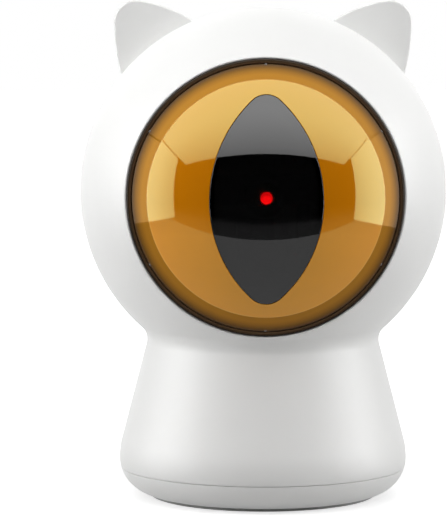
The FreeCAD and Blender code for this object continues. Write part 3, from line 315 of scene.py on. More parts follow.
def bar(name: str, outline: Array, along: Along, low: float, high: float) -> Piece:
    """Closed bar of one section, its ends fans from the section's middle.

    Args:
        name: Name of the new object.
        outline: Section (x, z) of a bar along Y, or (x, y) of a bar along Z.
        along: The bar's axis.
        low: Where the bar starts.
        high: Where it ends.

    Returns:
        The object.
    """
    middle = np.broadcast_to(outline.mean(axis=0), outline.shape)
    rows = []
    for section, place in ((middle, low), (outline, low), (outline, high), (middle, high)):
        first, second = section.T
        parts = (first, place, second) if along is Along.Y else (first, second, place)
        rows.append(points_of(*parts))
    return ringed_mesh(name, rows)


def pegs(name: str, places: Array | list[Point], radius: float, along: Along, low: float,
         high: float) -> list[Piece]:
    """Round bars of one size at several places of the plane."""
    return [bar(name, round_outline(radius, tuple(place)), along, low, high) for place in places]


# ---------------------------------------------------------------- finishes
@dataclass(frozen=True)
class Mottle:
    """A colour's cloudy change between two levels of a noise."""

    per_metre: float
    detail: float
    levels: Pair
    shades: Pair


class Nodes:
    """Short forms for building a node tree around its shader."""

    def __init__(self, owner: bpy.types.Material | bpy.types.World,
                 shader: str = "Principled BSDF") -> None:
        """Opens a node tree.

        Args:
            owner: The material or the world.
            shader: Name of the shader node that it starts with.
        """
        owner.use_nodes = True
        self.tree = owner.node_tree
        self.shader = self.tree.nodes[shader]

    @cached_property
    def place(self) -> Socket:
        """Object coordinates."""
        return self.add("ShaderNodeTexCoord").outputs["Object"]

    def put(self, socket: Socket, value: object) -> None:
        """Links or sets an input.

        Args:
            socket: The input.
            value: The output that it reads, or its value.
        """
        if isinstance(value, Socket):
            self.tree.links.new(value, socket)
        else:
            socket.default_value = value

    def add(self, kind: str, inputs: dict | None = None, **settings: object) -> bpy.types.Node:
        """Adds a node.

        Args:
            kind: Blender's name of the node type.
            inputs: Value or socket for each input, by its name or number.
            **settings: Properties of the node.

        Returns:
            The node.
        """
        node = self.tree.nodes.new(kind)
        for key, value in settings.items():
            setattr(node, key, value)
        for key, value in (inputs or {}).items():
            self.put(node.inputs[key], value)
        return node

    def set(self, **inputs: object) -> None:
        """Sets or links inputs of the shader, with _ for each space in a name."""
        for key, value in inputs.items():
            self.put(self.shader.inputs[key.replace("_", " ")], value)

    def math(self, operation: str, first: Socket | float, second: Socket | float) -> Socket:
        """Result of a Math node."""
        return self.add("ShaderNodeMath", {0: first, 1: second}, operation=operation).outputs[0]

    def ramp(self, factor: Socket, stops: list[tuple[float, Colour]]) -> Socket:
        """Colour of a ramp.

        Args:
            factor: What the ramp reads.
            stops: Pairs of place and linear colour.

        Returns:
            The colour socket.
        """
        node = self.add("ShaderNodeValToRGB", {"Fac": factor})
        elements = node.color_ramp.elements
        for _ in range(len(stops) - len(elements)):
            elements.new(1.0)
        for element, (place, colour) in zip(elements, stops):
            element.position = place
            element.color = (*colour, 1.0)
        return node.outputs["Color"]

    def noise(self, per_metre: float, detail: float = 2.0, place: Socket | None = None) -> Socket:
        """Noise of so many features per metre."""
        inputs = {"Vector": place or self.place, "Scale": per_metre, "Detail": detail}
        return self.add("ShaderNodeTexNoise", inputs).outputs["Fac"]

    def mottled(self, colour: Colour, mottle: Mottle) -> tuple[Socket, Socket]:
        """Clouds a colour.

        Args:
            colour: The linear colour.
            mottle: The noise, its two levels and how bright the colour is at each.

        Returns:
            The noise and the colour.
        """
        cloud = self.noise(mottle.per_metre, mottle.detail)
        stops = [(level, shade(colour, factor)) for level, factor in zip(mottle.levels, mottle.shades)]
        return cloud, self.ramp(cloud, stops)

    def bump(self, height: Socket, depth: float) -> None:
        """Gives the shader a bump whose full height is a depth in metres."""
        node = self.add("ShaderNodeBump", {"Height": height, "Distance": depth, "Strength": 1.0})
        self.set(Normal=node.outputs["Normal"])

    def spread(self, factor: Socket, low: float, high: float) -> Socket:
        """Maps 0..1 to low..high."""
        inputs = {"Value": factor, "To Min": low, "To Max": high}
        return self.add("ShaderNodeMapRange", inputs).outputs["Result"]

    def reach(self, axis_z: float, radius: float) -> Socket:
        """Distance from the lens axis as a share of a radius.

        Args:
            axis_z: Height of the axis in millimetres.
            radius: The distance in millimetres that counts as 1.

        Returns:
            The share.
        """
        flat = self.add("ShaderNodeVectorMath", {0: self.place, 1: (1.0, 0.0, 1.0)},
                        operation="MULTIPLY").outputs[0]
        node = self.add("ShaderNodeVectorMath", {0: flat, 1: (0.0, 0.0, axis_z * MM)},
                        operation="DISTANCE")
        return self.math("DIVIDE", node.outputs["Value"], radius * MM)

    def coordinate(self, axis: str) -> Socket:
        """One of the object coordinates."""
        return self.add("ShaderNodeSeparateXYZ", {"Vector": self.place}).outputs[axis]


def shade(colour: Colour, factor: float) -> Colour:
    """A colour multiplied by a factor."""
    return tuple(channel * factor for channel in colour)


@dataclass(frozen=True)
class Finish:
    """What a material slot is made of."""

    def build(self, name: str) -> bpy.types.Material:
        """Makes the material.

        Args:
            name: Name of the material.

        Returns:
            The material, with the nodes of its finish.
        """
        material = bpy.data.materials.new(name)
        self.lay(Nodes(material))
        return material

    def lay(self, nodes: Nodes) -> None:
        """Lays the finish's nodes; each finish has its own."""
        raise NotImplementedError


@dataclass(frozen=True)
class MouldedPlastic(Finish):
    """Satin or matt moulded plastic with a fine eroded grain and a slight mottle."""

    colour: Colour
    roughness: float = 0.42
    grain_depth: float = 6e-6
    specular: float = 0.5
    swing: float = 0.04
    mottle: Mottle = Mottle(45.0, 3.0, (0.3, 0.7), (0.97, 1.0))
    haze: Pattern = (900.0, 2.0)
    grain: Pattern = (5200.0, 1.0)

    def lay(self, nodes: Nodes) -> None:
        """Clouds the colour, varies the gloss and raises the grain.

        Args:
            nodes: The material's nodes.
        """
        colour = nodes.mottled(self.colour, self.mottle)[1]
        rough = nodes.spread(nodes.noise(*self.haze), self.roughness - self.swing,
                             self.roughness + self.swing)
        nodes.set(Base_Color=colour, Roughness=rough, Specular_IOR_Level=self.specular)
        nodes.bump(nodes.noise(*self.grain), self.grain_depth)


@dataclass(frozen=True)
class Rubber(Finish):
    """Soft matt rubber with a dusty bloom."""

    colour: Colour
    roughness: Pair = (0.68, 0.85)
    bloom: Mottle = Mottle(160.0, 4.0, (0.35, 0.8), (1.0, 1.35))
    grain: Pattern = (2600.0, 3.0)
    grain_depth: float = 1.2e-5

    def lay(self, nodes: Nodes) -> None:
        """The bloom lightens the colour and dulls the surface.

        Args:
            nodes: The material's nodes.
        """
        bloom, colour = nodes.mottled(self.colour, self.bloom)
        nodes.set(Base_Color=colour, Roughness=nodes.spread(bloom, *self.roughness))
        nodes.bump(nodes.noise(*self.grain), self.grain_depth)


@dataclass(frozen=True)
class Metal(Finish):
    """Turned, drawn or plated metal with fine marks that run along one axis."""

    colour: Colour
    roughness: float = 0.32
    swing: float = 0.1
    stretch: Triple = (1.0, 1.0, 0.06)
    tarnish: Mottle = Mottle(210.0, 3.0, (0.3, 0.7), (0.82, 1.0))
    marks: Pattern = (6000.0, 2.0)
    mark_depth: float = 3e-6

    def lay(self, nodes: Nodes) -> None:
        """Marks in stretched coordinates vary the gloss and stand out of the surface.

        Args:
            nodes: The material's nodes.
        """
        along = nodes.add("ShaderNodeMapping", {"Vector": nodes.place, "Scale": self.stretch})
        marks = nodes.noise(*self.marks, along.outputs["Vector"])
        colour = nodes.mottled(self.colour, self.tarnish)[1]
        rough = nodes.spread(marks, self.roughness - self.swing, self.roughness + self.swing)
        nodes.set(Base_Color=colour, Roughness=rough, Metallic=1.0)
        nodes.bump(marks, self.mark_depth)


@dataclass(frozen=True)
class RimPlastic(Finish):
    """Black plastic with a brown cast on its inner half, which the amber dome lights.

    The three levels are shares of the rim's radius: brown, darker brown and black.
    """

    rim_radius: float
    axis_z: float
    black: Colour = (0.007, 0.0055, 0.005)
    brown: Colour = (0.10, 0.06, 0.032)
    brown_shade: float = 0.75
    tint: Colour = (0.6, 0.42, 0.26)
    levels: Triple = (0.965, 0.984, 0.992)
    roughness: Pair = (0.3, 0.38)
    specular: float = 0.3
    haze: Pattern = (900.0, 2.0)
    grain: Pattern = (5200.0, 1.0)
    grain_depth: float = 1e-6

    def lay(self, nodes: Nodes) -> None:
        """The colour follows the distance from the lens axis.

        Args:
            nodes: The material's nodes.
        """
        colours = (self.brown, shade(self.brown, self.brown_shade), self.black)
        colour = nodes.ramp(nodes.reach(self.axis_z, self.rim_radius), list(zip(self.levels, colours)))
        nodes.set(Base_Color=colour, Roughness=nodes.spread(nodes.noise(*self.haze), *self.roughness),
                  Specular_IOR_Level=self.specular, Specular_Tint=(*self.tint, 1.0))
        nodes.bump(nodes.noise(*self.grain), self.grain_depth)


@dataclass(frozen=True)
class MirroredAmber(Finish):
    """Half mirrored amber: brighter cap, sloped ring that darkens to black at its rim.

    A painted highlight, a bright line, runs round the cap's edge: it starts, is full, ends and
    gives way to the ring at four distances from the edge, as shares of the rim's radius. The places
    on the ring are shares of its width: where it is full, half dark and dark, and where the rim's
    colour and the rim's weaker mirror start. The cap's middle, the half dark and the dark place
    have a shade each. A painted reflection of the floor tints the cap and grows between two
    distances below the axis, in millimetres.
    """

    cap_radius: float
    rim_radius: float
    axis_z: float
    cap: Colour = (0.60, 0.195, 0.0024)
    # painted highlight: the colour of the bright line round the cap's edge
    edge: Colour = (0.62, 0.24, 0.02)
    ring: Colour = (0.36, 0.15, 0.008)
    rim: Colour = (0.085, 0.046, 0.018)
    cap_glint: Colour = (0.70, 0.84, 0.33)
    ring_glint: Colour = (0.47, 0.225, 0.016)
    rim_glint: Colour = (0.11, 0.06, 0.02)
    # painted reflection of the pale floor, added to the cap's colour below the axis
    painted_floor_reflection: Colour = (0.13, 0.06, 0.010)
    # where the painted highlight line starts, is full and ends, and where the ring starts
    line: tuple[float, float, float, float] = (-0.008, -0.005, -0.001, 0.003)
    glint_from: float = -0.002
    shades: Triple = (0.97, 0.70, 0.42)
    full_at: float = 0.34
    half_dark_at: float = 0.61
    dark_at: float = 0.8
    rim_at: float = 0.97
    rim_glint_at: float = 0.9
    reflection_from: float = 1.0
    reflection_to: float = 9.0
    roughness: Pair = (0.03, 0.05)
    haze: Pattern = (70.0, 2.0)
    wave: Pattern = (120.0, 1.0)
    wave_depth: float = 1.5e-6

    def lay(self, nodes: Nodes) -> None:
        """The colour follows the distance from the lens axis.

        A painted reflection of the pale floor, a yellowish tint, is added to the cap's colour
        towards the bottom, from a few millimetres below the axis on.

        Args:
            nodes: The material's nodes.
        """
        reach = nodes.reach(self.axis_z, self.rim_radius)
        edge = self.cap_radius / self.rim_radius
        width = 1.0 - edge
        # the cap's colour brightens to a painted highlight line at its edge
        highlight_from, highlight_full, highlight_to, ring_from = (edge + step for step in self.line)
        middle, half_dark, dark = self.shades
        colour = nodes.ramp(reach, [
            (0.0, shade(self.cap, middle)), (highlight_from, self.cap), (highlight_full, self.edge),
            (highlight_to, self.edge), (ring_from, self.ring), (edge + self.full_at * width, self.ring),
            (edge + self.half_dark_at * width, shade(self.ring, half_dark)),
            (edge + self.dark_at * width, shade(self.ring, dark)),
            (edge + self.rim_at * width, self.rim)])
        glint = nodes.ramp(reach, [
            (edge + self.glint_from, self.cap_glint), (ring_from, self.ring_glint),
            (edge + self.full_at * width, self.ring_glint),
            (edge + self.rim_glint_at * width, self.rim_glint)])
        # painted reflection of the floor: a tint that grows towards the bottom of the cap
        drop = nodes.add("ShaderNodeMapRange", {
            "Value": nodes.coordinate("Z"), "From Min": (self.axis_z - self.reflection_from) * MM,
            "From Max": (self.axis_z - self.reflection_to) * MM}).outputs["Result"]
        inside = nodes.math("LESS_THAN", reach, edge)
        low = nodes.ramp(nodes.math("MULTIPLY", drop, inside),
                         [(0.0, (0.0, 0.0, 0.0)), (1.0, self.painted_floor_reflection)])
        colour = nodes.add("ShaderNodeVectorMath", {0: colour, 1: low}, operation="ADD").outputs[0]
        rough = nodes.spread(nodes.noise(*self.haze), *self.roughness)
        nodes.set(Base_Color=colour, Roughness=rough, Specular_IOR_Level=1.0, Specular_Tint=glint)
        nodes.bump(nodes.noise(*self.wave), self.wave_depth)


@dataclass(frozen=True)
class ClearPlastic(Finish):
    """Clear, tinted or smoked plastic with faint haze."""

    colour: Colour
    roughness: Pair = (0.12, 0.2)
    haze: Mottle = Mottle(800.0, 2.0, (0.3, 0.7), (1.0, 0.94))
    transmission: float = 0.8
    ior: float = 1.49

    def lay(self, nodes: Nodes) -> None:
        """The haze darkens the colour and dulls the surface.

        Args:
            nodes: The material's nodes.
        """
        haze, colour = nodes.mottled(self.colour, self.haze)
        nodes.set(Base_Color=colour, Roughness=nodes.spread(haze, *self.roughness),
                  Transmission_Weight=self.transmission, IOR=self.ior)


@dataclass(frozen=True)
class GlowingLens(Finish):
    """Small red lens that shines, a little brighter in the middle."""

    axis_z: float
    radius: float
    colour: Colour = (1.0, 0.002, 0.003)
    strength: float = 32.0
    full_to: float = 0.75
    edge_shade: float = 0.6
    roughness: float = 0.15

    def lay(self, nodes: Nodes) -> None:
        """The glow's colour follows the distance from the lens axis.

        Args:
            nodes: The material's nodes.
        """
        colour = nodes.ramp(nodes.reach(self.axis_z, self.radius),
                            [(0.0, self.colour), (self.full_to, self.colour),
                             (1.0, shade(self.colour, self.edge_shade))])
        nodes.set(Base_Color=colour, Emission_Color=colour, Emission_Strength=self.strength,
                  Roughness=self.roughness)


@dataclass(frozen=True)
class CellSleeve(Finish):
    """Printed sleeve of a battery cell: dark body, a plain copper band at one end."""

    body: Colour = (0.02, 0.025, 0.03)
    band: Colour = (0.55, 0.28, 0.10)
    band_from: float = 0.010
    roughness: Pair = (0.25, 0.4)
    haze: Pattern = (500.0, 2.0)
    coat: float = 0.4

    def lay(self, nodes: Nodes) -> None:
        """The band lies past a distance along X.

        Args:
            nodes: The material's nodes.
        """
        past = nodes.math("GREATER_THAN", nodes.coordinate("X"), self.band_from)
        nodes.set(Base_Color=nodes.ramp(past, [(0.0, self.body), (1.0, self.band)]),
                  Roughness=nodes.spread(nodes.noise(*self.haze), *self.roughness),
                  Coat_Weight=self.coat)


@dataclass(frozen=True)
class SolderMask(Finish):
    """Green circuit board with lighter tracks."""

    colour: Colour = (0.012, 0.09, 0.035)
    turn: Triple = (math.pi / 2, 0.0, 0.0)
    cells_per_metre: float = 420.0
    track_width: float = 0.06
    cell_shade: float = 0.85
    track_shade: float = 2.2
    roughness: float = 0.35

    def lay(self, nodes: Nodes) -> None:
        """The tracks are the joints of a brick pattern that stands upright.

        Args:
            nodes: The material's nodes.
        """
        upright = nodes.add("ShaderNodeMapping", {"Vector": nodes.place, "Rotation": self.turn})
        cells = nodes.add("ShaderNodeTexBrick", {
            "Vector": upright.outputs["Vector"], "Scale": self.cells_per_metre,
            "Mortar Size": self.track_width, "Color1": (*self.colour, 1.0),
            "Color2": (*shade(self.colour, self.cell_shade), 1.0),
            "Mortar": (*shade(self.colour, self.track_shade), 1.0)})
        nodes.set(Base_Color=cells.outputs["Color"], Roughness=self.roughness)


# ---------------------------------------------------------------- body outline
@dataclass
class BodyOutline:
    """Outline of the casing turned about Z: head sphere, neck round, cone, foot and tray."""

    head_radius: float = 49.0
    head_centre_z: float = 82.0
    wall: float = 2.4
    neck_round: float = 4.5
    skirt_slope_deg: float = 14.5
    skirt_round: float = 20.0
    widest_radius: float = 38.643
    widest_z: float = 10.2
    tray_round: float = 9.6
    underside_z: float = 0.6
    seam_z: float = 7.8
    seam_gap: float = 0.16
    parting_y: float = 3.0
    last_step: float = 0.3
    neck_steps: int = 18
    cone_steps: int = 25
    foot_steps: int = 10
    tray_steps: int = 14

    def neck(self, inset: float) -> tuple[Point, Point, float]:
        """Where the neck's round lies.

        Args:
            inset: How far inside the outer surface.

        Returns:
            The round's centre, the foot of the cone (each as radius and height) and the
            angle at which the round meets the sphere, in degrees.
        """
        slope = math.radians(self.skirt_slope_deg)
        outward = np.array([math.cos(slope), math.sin(slope)])
        upward = np.array([-math.sin(slope), math.cos(slope)])
        skirt_centre = np.array([self.widest_radius - self.skirt_round, self.widest_z])
        cone_foot = skirt_centre + (self.skirt_round - inset) * outward
        start = cone_foot + (self.neck_round + inset) * outward - (0.0, self.head_centre_z)
        along = start @ upward
        reach = self.head_radius + self.neck_round
        climb = -along - math.sqrt(along ** 2 - start @ start + reach ** 2)
        centre = start + climb * upward
        join_deg = math.degrees(math.atan2(centre[1], centre[0]))
        return (centre[0], centre[1] + self.head_centre_z), tuple(cone_foot), join_deg

    def flank(self, inset: float, low_z: float) -> Array:
        """Profile below the sphere: the neck's round, the straight cone, the skirt's round, the tray's.

        Args:
            inset: How far inside the outer surface.
            low_z: Height at which it ends.

        Returns:
            Radius and height of each point, from where the sphere ends down.
        """
        neck_centre, cone_foot, join_deg = self.neck(inset)
        neck = arc(neck_centre, self.neck_round + inset, 180.0 + join_deg,
                   180.0 + self.skirt_slope_deg, self.neck_steps)
        share = np.linspace(0.0, 1.0, self.cone_steps + 1)[1:, None]
        cone = neck[-1] + share * (np.array(cone_foot) - neck[-1])
        centre = (self.widest_radius - self.skirt_round, self.widest_z)
        foot = arc(centre, self.skirt_round - inset, self.skirt_slope_deg, 0.0, self.foot_steps)[1:]
        last_z = low_z + self.last_step
        tray = self.tray_arc(inset, self.widest_z, last_z)[1:]
        return np.concatenate([neck, cone, foot, tray, self.tray_arc(inset, last_z, low_z)[-1:]])

    def tray_arc(self, inset: float, high_z: float, low_z: float) -> Array:
        """The tray's round between two heights.

        Args:
            inset: How far inside the outer surface.
            high_z: Height at which it starts.
            low_z: Height at which it ends.

        Returns:
            Radius and height of each point, from the top down.
        """
        radius = self.tray_round - inset
        drop = np.clip((self.widest_z - np.array([high_z, low_z])) / radius, 0.0, 1.0)
        start, end = -np.degrees(np.arcsin(drop))
        centre = (self.widest_radius - self.tray_round, self.widest_z)
        return arc(centre, radius, start, end, self.tray_steps)

    def skirt_radius_at(self, height: float | Array) -> float | Array:
        """Outer radius of the cone at a height, which the slope moves in as it climbs.

        Args:
            height: One height or several.

        Returns:
            The radius at each.
        """
        slope = math.radians(self.skirt_slope_deg)
        foot = self.widest_radius - self.skirt_round + self.skirt_round * math.cos(slope)
        foot_z = self.widest_z + self.skirt_round * math.sin(slope)
        return foot - (height - foot_z) * math.tan(slope)

    def radius_at(self, height: Array) -> Array:
        """Outer radius at a height: the sphere's above its middle, the cone's below it."""
        above = np.sqrt(np.maximum(self.head_radius ** 2 - (height - self.head_centre_z) ** 2, 0.0))
        return np.where(height > self.head_centre_z, above, self.skirt_radius_at(height))


@dataclass
class LensGroup:
    """Dome, pupil, bezel and the six clips, on the axis along -Y through the head's centre."""

    outline: BodyOutline
    opening_radius: float = 35.84
    opening_round: float = 0.35
    opening_steps: int = 12
    seat_depth: float = 26.517
    seat_radius: float = 38.32
    gap: float = 0.1
    small_round: float = 0.1
    bezel_band: float = 1.15
    bezel_front: float = 33.21
    bezel_round: float = 0.4
    dome_radius: float = 47.6
    dome_thickness: float = 1.8
    cap_radius: float = 30.55
    cap_round: float = 0.22
    cap_rim: float = 0.55
    cap_step: float = 0.5
    ring_drop: float = 3.0
    ring_round: float = 0.35
    flange: float = 1.3
    flange_radius: float = 36.5
    pupil_half_width: float = 14.57
    pupil_half_height: float = 26.84
    pupil_tip_round: float = 5.3
    pupil_edge_round: float = 0.12
    pupil_side_share: float = 0.4
    pupil_tip_share: float = 0.1
    pupil_play: float = 0.05
    pupil_flange_width: float = 1.6
    pupil_flange_thickness: float = 1.3
    clip_circle: float = 34.35
    clip_sink: float = 0.28
    clip_size: Triple = (0.42, 0.3, 0.34)
    clip_count: int = 6
    clip_grid: tuple[int, int] = (13, 24)
    bezel_columns: int = 256
    round_steps: int = 6
    dome_fan: tuple[float, float, float, int] = (0.004, 0.04, 0.97, 26)
    pupil_fan: tuple[float, int, float] = (0.97, 22, 0.996)
    pupil_back_rows: int = 12

    @property
    def skirt_radius(self) -> float:
        """Outer radius of the dome's sloped ring."""
        return self.opening_radius - self.gap - self.bezel_band - self.gap

    def pupil_outline(self, grow: float, count: int = 320) -> Array:
        """Pointed oval: two big arcs whose ends touch two small tip circles.

        Args:
            grow: How far outside the pupil's own edge.
            count: About how many points there are.

        Returns:
            Points (x, z) from the axis, anticlockwise.
        """
        tip_z = self.pupil_half_height - self.pupil_tip_round
        half_width = self.pupil_half_width
        side = ((half_width ** 2 + tip_z ** 2 - self.pupil_tip_round ** 2)
                / (2.0 * (half_width - self.pupil_tip_round)))
        centre_x = side - half_width
        touch_deg = math.degrees(math.atan2(tip_z, centre_x))
        side_count, tip_count = int(count * self.pupil_side_share), int(count * self.pupil_tip_share)
        right = arc((-centre_x, 0.0), side + grow, -touch_deg, touch_deg, side_count)
        top = arc((0.0, tip_z), self.pupil_tip_round + grow, touch_deg, 180.0 - touch_deg, tip_count)
        top = top[1:-1]
        return np.concatenate([right, top, -right, -top])

    def at_depth(self, flat: Array, depth: Array) -> Array:
        """Points a depth in front of the head's centre, from flat (x, z) points."""
        return points_of(flat[..., 0], -depth, flat[..., 1] + self.outline.head_centre_z)

    def on_sphere(self, flat: Array, radius: float) -> Array:
        """Points of a sphere about the head's centre in front of flat (x, z) points."""
        return self.at_depth(flat, np.sqrt(radius ** 2 - (flat ** 2).sum(axis=-1)))

    def sphere_depth(self, radius: float) -> float:
        """Depth at which the dome's sphere has a radius about the lens axis."""
        return math.sqrt(self.dome_radius ** 2 - radius ** 2)

    def circles(self, profile: Array, ways: Array) -> list[Array]:
        """Rows of a surface turned about the lens axis: radius times way, at the profile's depth."""
        return list(self.at_depth(profile[:, 0, None, None] * ways, profile[:, 1, None]))

    def opening_profile(self) -> Array:
        """Profile from the rim's seat, along the bore and round its edge to the sphere.

        The edge's arc touches the bore and the sphere; its last point has the sphere's slope.

        Returns:
            Radius and depth of each point.
        """
        radius, edge = self.outline.head_radius, self.opening_round
        across = self.opening_radius + edge
        depth = math.sqrt((radius - edge) ** 2 - across ** 2)
        end_deg = math.degrees(math.atan2(across, depth))
        turn = np.radians(np.linspace(-90.0, end_deg, self.opening_steps))
        curve = np.column_stack([across + edge * np.sin(turn), depth + edge * np.cos(turn)])
        bore = [(self.opening_radius, self.seat_depth),
                (self.opening_radius, depth - self.outline.last_step)]
        return np.concatenate([bore, curve])

    def dome(self) -> Piece:
        """Dome around the pupil's opening.

        The cap's rows run from the opening's edge P to the cap's edge E as P + t (E - P), set
        on the sphere. Step, sloped ring, skirt and flange follow, and the inner sphere leads
        back to the opening.

        Returns:
            The object.
        """
        edge, rise, small = self.pupil_outline(0.0), self.pupil_edge_round, self.small_round
        ways = edge / np.hypot(edge[:, 0], edge[:, 1])[:, None]
        inner_radius = self.dome_radius - self.dome_thickness
        bore_radius = self.skirt_radius - self.dome_thickness
        cap_depth = self.sphere_depth(self.cap_radius)
        ring_depth = cap_depth - self.cap_step
        ring_end = ring_depth - self.ring_drop
        flange_front = self.seat_depth - self.flange
        flange_back = flange_front - self.flange
        last_cap = self.cap_radius - self.cap_rim
        second, start, end, count = self.dome_fan
        share = np.concatenate([[0.0, second], np.linspace(start, end, count), [1.0]])

        def fan(start: Array, radius: float, sphere: float) -> list[Array]:
            """Rows from the opening's edge to a circle, on a sphere."""
            return [self.on_sphere(start + t * (radius * ways - start), sphere) for t in share]

        profile = rounded_path(
            [(last_cap, self.sphere_depth(last_cap)), (self.cap_radius, cap_depth),
             (self.cap_radius, ring_depth), (self.skirt_radius, ring_end),
             (self.skirt_radius, flange_front), (self.flange_radius, flange_front),
             (self.flange_radius, flange_back), (bore_radius, flange_back), (bore_radius, ring_end)],
            [0.0, self.cap_round, small, self.ring_round, small, small, small, small, 0.0],
            closed=False)
        turn = np.radians(np.linspace(90.0, 0.0, self.round_steps))
        rows = [self.on_sphere(self.pupil_outline(rise * (1.0 - math.sin(a))),
                               self.dome_radius - rise * (1.0 - math.cos(a))) for a in turn]
        rows += fan(self.pupil_outline(rise), last_cap, self.dome_radius)[1:]
        rows += self.circles(profile[1:], ways)
        rows += fan(edge, bore_radius, inner_radius)[::-1]
        return settled(ringed_mesh("dome_skin", rows, wrap_rows=True))

    def pupil(self) -> Piece:
        """Window flush in the dome.

        Front and back are fans t P of the outline P on a sphere, and a quarter round and a
        flange lie between them.

        Returns:
            The object.
        """
        rise = self.pupil_edge_round
        flange = self.pupil_outline(self.pupil_flange_width)
        flange_front = self.dome_radius - self.dome_thickness - self.pupil_play
        back = flange_front - self.pupil_flange_thickness
        front = self.pupil_outline(-self.gap - rise)
        end, count, last = self.pupil_fan
        rows = [self.on_sphere(t * front, self.dome_radius)
                for t in np.concatenate([np.linspace(0.0, end, count), [last]])]
        rows += [self.on_sphere(self.pupil_outline(-self.gap - rise * (1.0 - math.sin(a))),
                                self.dome_radius - rise * (1.0 - math.cos(a)))
                 for a in np.radians(np.linspace(0.0, 90.0, self.round_steps))]
        rows += [self.on_sphere(self.pupil_outline(-self.gap), flange_front),
                 self.on_sphere(flange, flange_front)]
        rows += [self.on_sphere(t * flange, back) for t in np.linspace(1.0, 0.0, self.pupil_back_rows)]
        return settled(ringed_mesh("pupil_skin", rows))

    def bezel(self) -> Piece:
        """Black ring between casing and dome: a profile with rounded corners turned about the axis.

        Returns:
            The object.
        """
        outer = self.opening_radius - self.gap
        inner = outer - self.bezel_band
        back, small = self.seat_depth - self.flange, self.small_round
        profile = rounded_path(
            [(inner, back), (inner, self.bezel_front), (outer, self.bezel_front),
             (outer, self.seat_depth), (self.flange_radius, self.seat_depth),
             (self.flange_radius, back)],
            [small, self.bezel_round, self.bezel_round, small, small, small])
        turn = full_turn(self.bezel_columns)
        ways = np.column_stack([np.cos(turn), np.sin(turn)])
        return settled(ringed_mesh("bezel_skin", self.circles(profile, ways), wrap_rows=True))

    def clips(self) -> Piece:
        """Six small rounded nubs at the ring's outer edge, one straight above the axis.

        Each is an ellipsoid: place + a sin u cos v across + b sin u sin v outward + c cos u
        forward, with its half sizes a, b and c.

        Returns:
            The object.
        """
        polar = np.linspace(0.0, math.pi, self.clip_grid[0])[:, None]
        around = full_turn(self.clip_grid[1])[None]
        across, outward, forward = self.clip_size
        side = across * np.sin(polar) * np.cos(around)
        reach = self.clip_circle + outward * np.sin(polar) * np.sin(around)
        depth = self.bezel_front - self.clip_sink + forward * np.cos(polar)
        sheets = []
        for angle in np.radians(90.0 + 360.0 * np.arange(self.clip_count) / self.clip_count):
            flat = np.stack([reach * math.cos(angle) - side * math.sin(angle),
                             reach * math.sin(angle) + side * math.cos(angle)], axis=-1)
            sheets.append(Sheet(self.at_depth(flat, depth), wrap_columns=True))
        return settled(solid_mesh("lens_clips", sheets))


@dataclass
class Ears:
    """The two ears, each about a foot on the head's sphere.

    Top edge, corner and outer edge are arcs through three places (x, z) from the foot, and each
    starts where the one before it ends. The inner place, within the head, closes the outline.
    """

    outline: BodyOutline
    turn_deg: float = 53.4
    foot_sink: float = 0.93
    front_y: float = 4.2
    depth: float = 19.0
    front_round: float = 0.6
    back_round: float = 3.4
    half_size: float = 13.0
    taper: Pair = (0.06, 0.52)
    top: tuple[Point, ...] = ((-9.55, 7.2), (-1.85, 10.85), (5.3, 12.5))
    corner: tuple[Point, ...] = ((5.3, 12.5), (9.85, 10.7), (11.5, 6.61))
    outer: tuple[Point, ...] = ((11.5, 6.61), (10.9, -1.4), (9.7, -7.2))
    inner: Point = (-6.65, -14.6)
    cap_ring: float = 0.06
    arc_steps: tuple[int, int, int] = (22, 18, 14)
    round_steps: int = 9
    depth_steps: int = 22
    first_step: float = 0.1

    def flat(self) -> Array:
        """Outline (x, z) from the foot: three arcs and the inner place."""
        top, corner, outer = (arc_through(*places, count) for places, count
                              in zip((self.top, self.corner, self.outer), self.arc_steps))
        return np.concatenate([top, corner[1:], outer[1:], [self.inner]])

    def sections(self) -> tuple[Array, Array]:
        """Depth of each section and its size.

        With t the share of the depth, the size is 1 - a t - b t^2 with the two tapers, less a
        quarter round at the front and at the back.

        Returns:
            The depths and the sizes.
        """
        quarter = np.radians(np.linspace(0.0, 90.0, self.round_steps))
        back_start = self.depth - self.back_round
        depth = np.concatenate([self.front_round * (1.0 - np.cos(quarter)),
                                np.linspace(self.front_round + self.first_step, back_start,
                                            self.depth_steps)[:-1],
                                back_start + self.back_round * np.sin(quarter)])
        share = depth / self.depth
        scale = 1.0 - self.taper[0] * share - self.taper[1] * share ** 2
        front_fall = np.clip((self.front_round - depth) / self.front_round, 0.0, 1.0)
        back_fall = np.clip((depth - self.depth + self.back_round) / self.back_round, 0.0, 1.0)
        scale -= self.front_round / self.half_size * (1.0 - np.sqrt(1.0 - front_fall ** 2))
        scale -= self.back_round / self.half_size * (1.0 - np.sqrt(1.0 - back_fall ** 2))
        return depth, scale

    def ear(self, side: float) -> Piece:
        """One ear: sections of the outline about a foot that follows the sphere inwards.

        Args:
            side: 1 for the ear on +X, -1 for the other.

        Returns:
            The object.
        """
        depth, scale = self.sections()
        y = self.front_y + depth
        turn = math.radians(self.turn_deg)
        reach = np.sqrt(self.outline.head_radius ** 2 - y ** 2) - self.foot_sink
        foot = reach[:, None] * np.array([math.cos(turn), math.sin(turn)])
        place = foot[:, None, :] + scale[:, None, None] * self.flat()[None]
        points = points_of(side * place[..., 0], y[:, None], place[..., 1] + self.outline.head_centre_z)
        front_cap, back_cap = (np.broadcast_to(points[end].mean(axis=0), points[end].shape)
                               for end in (0, -1))
        inner_ring = points[0] + self.cap_ring * (front_cap - points[0])
        return ringed_mesh("ear", [front_cap, inner_ring, *points, back_cap])


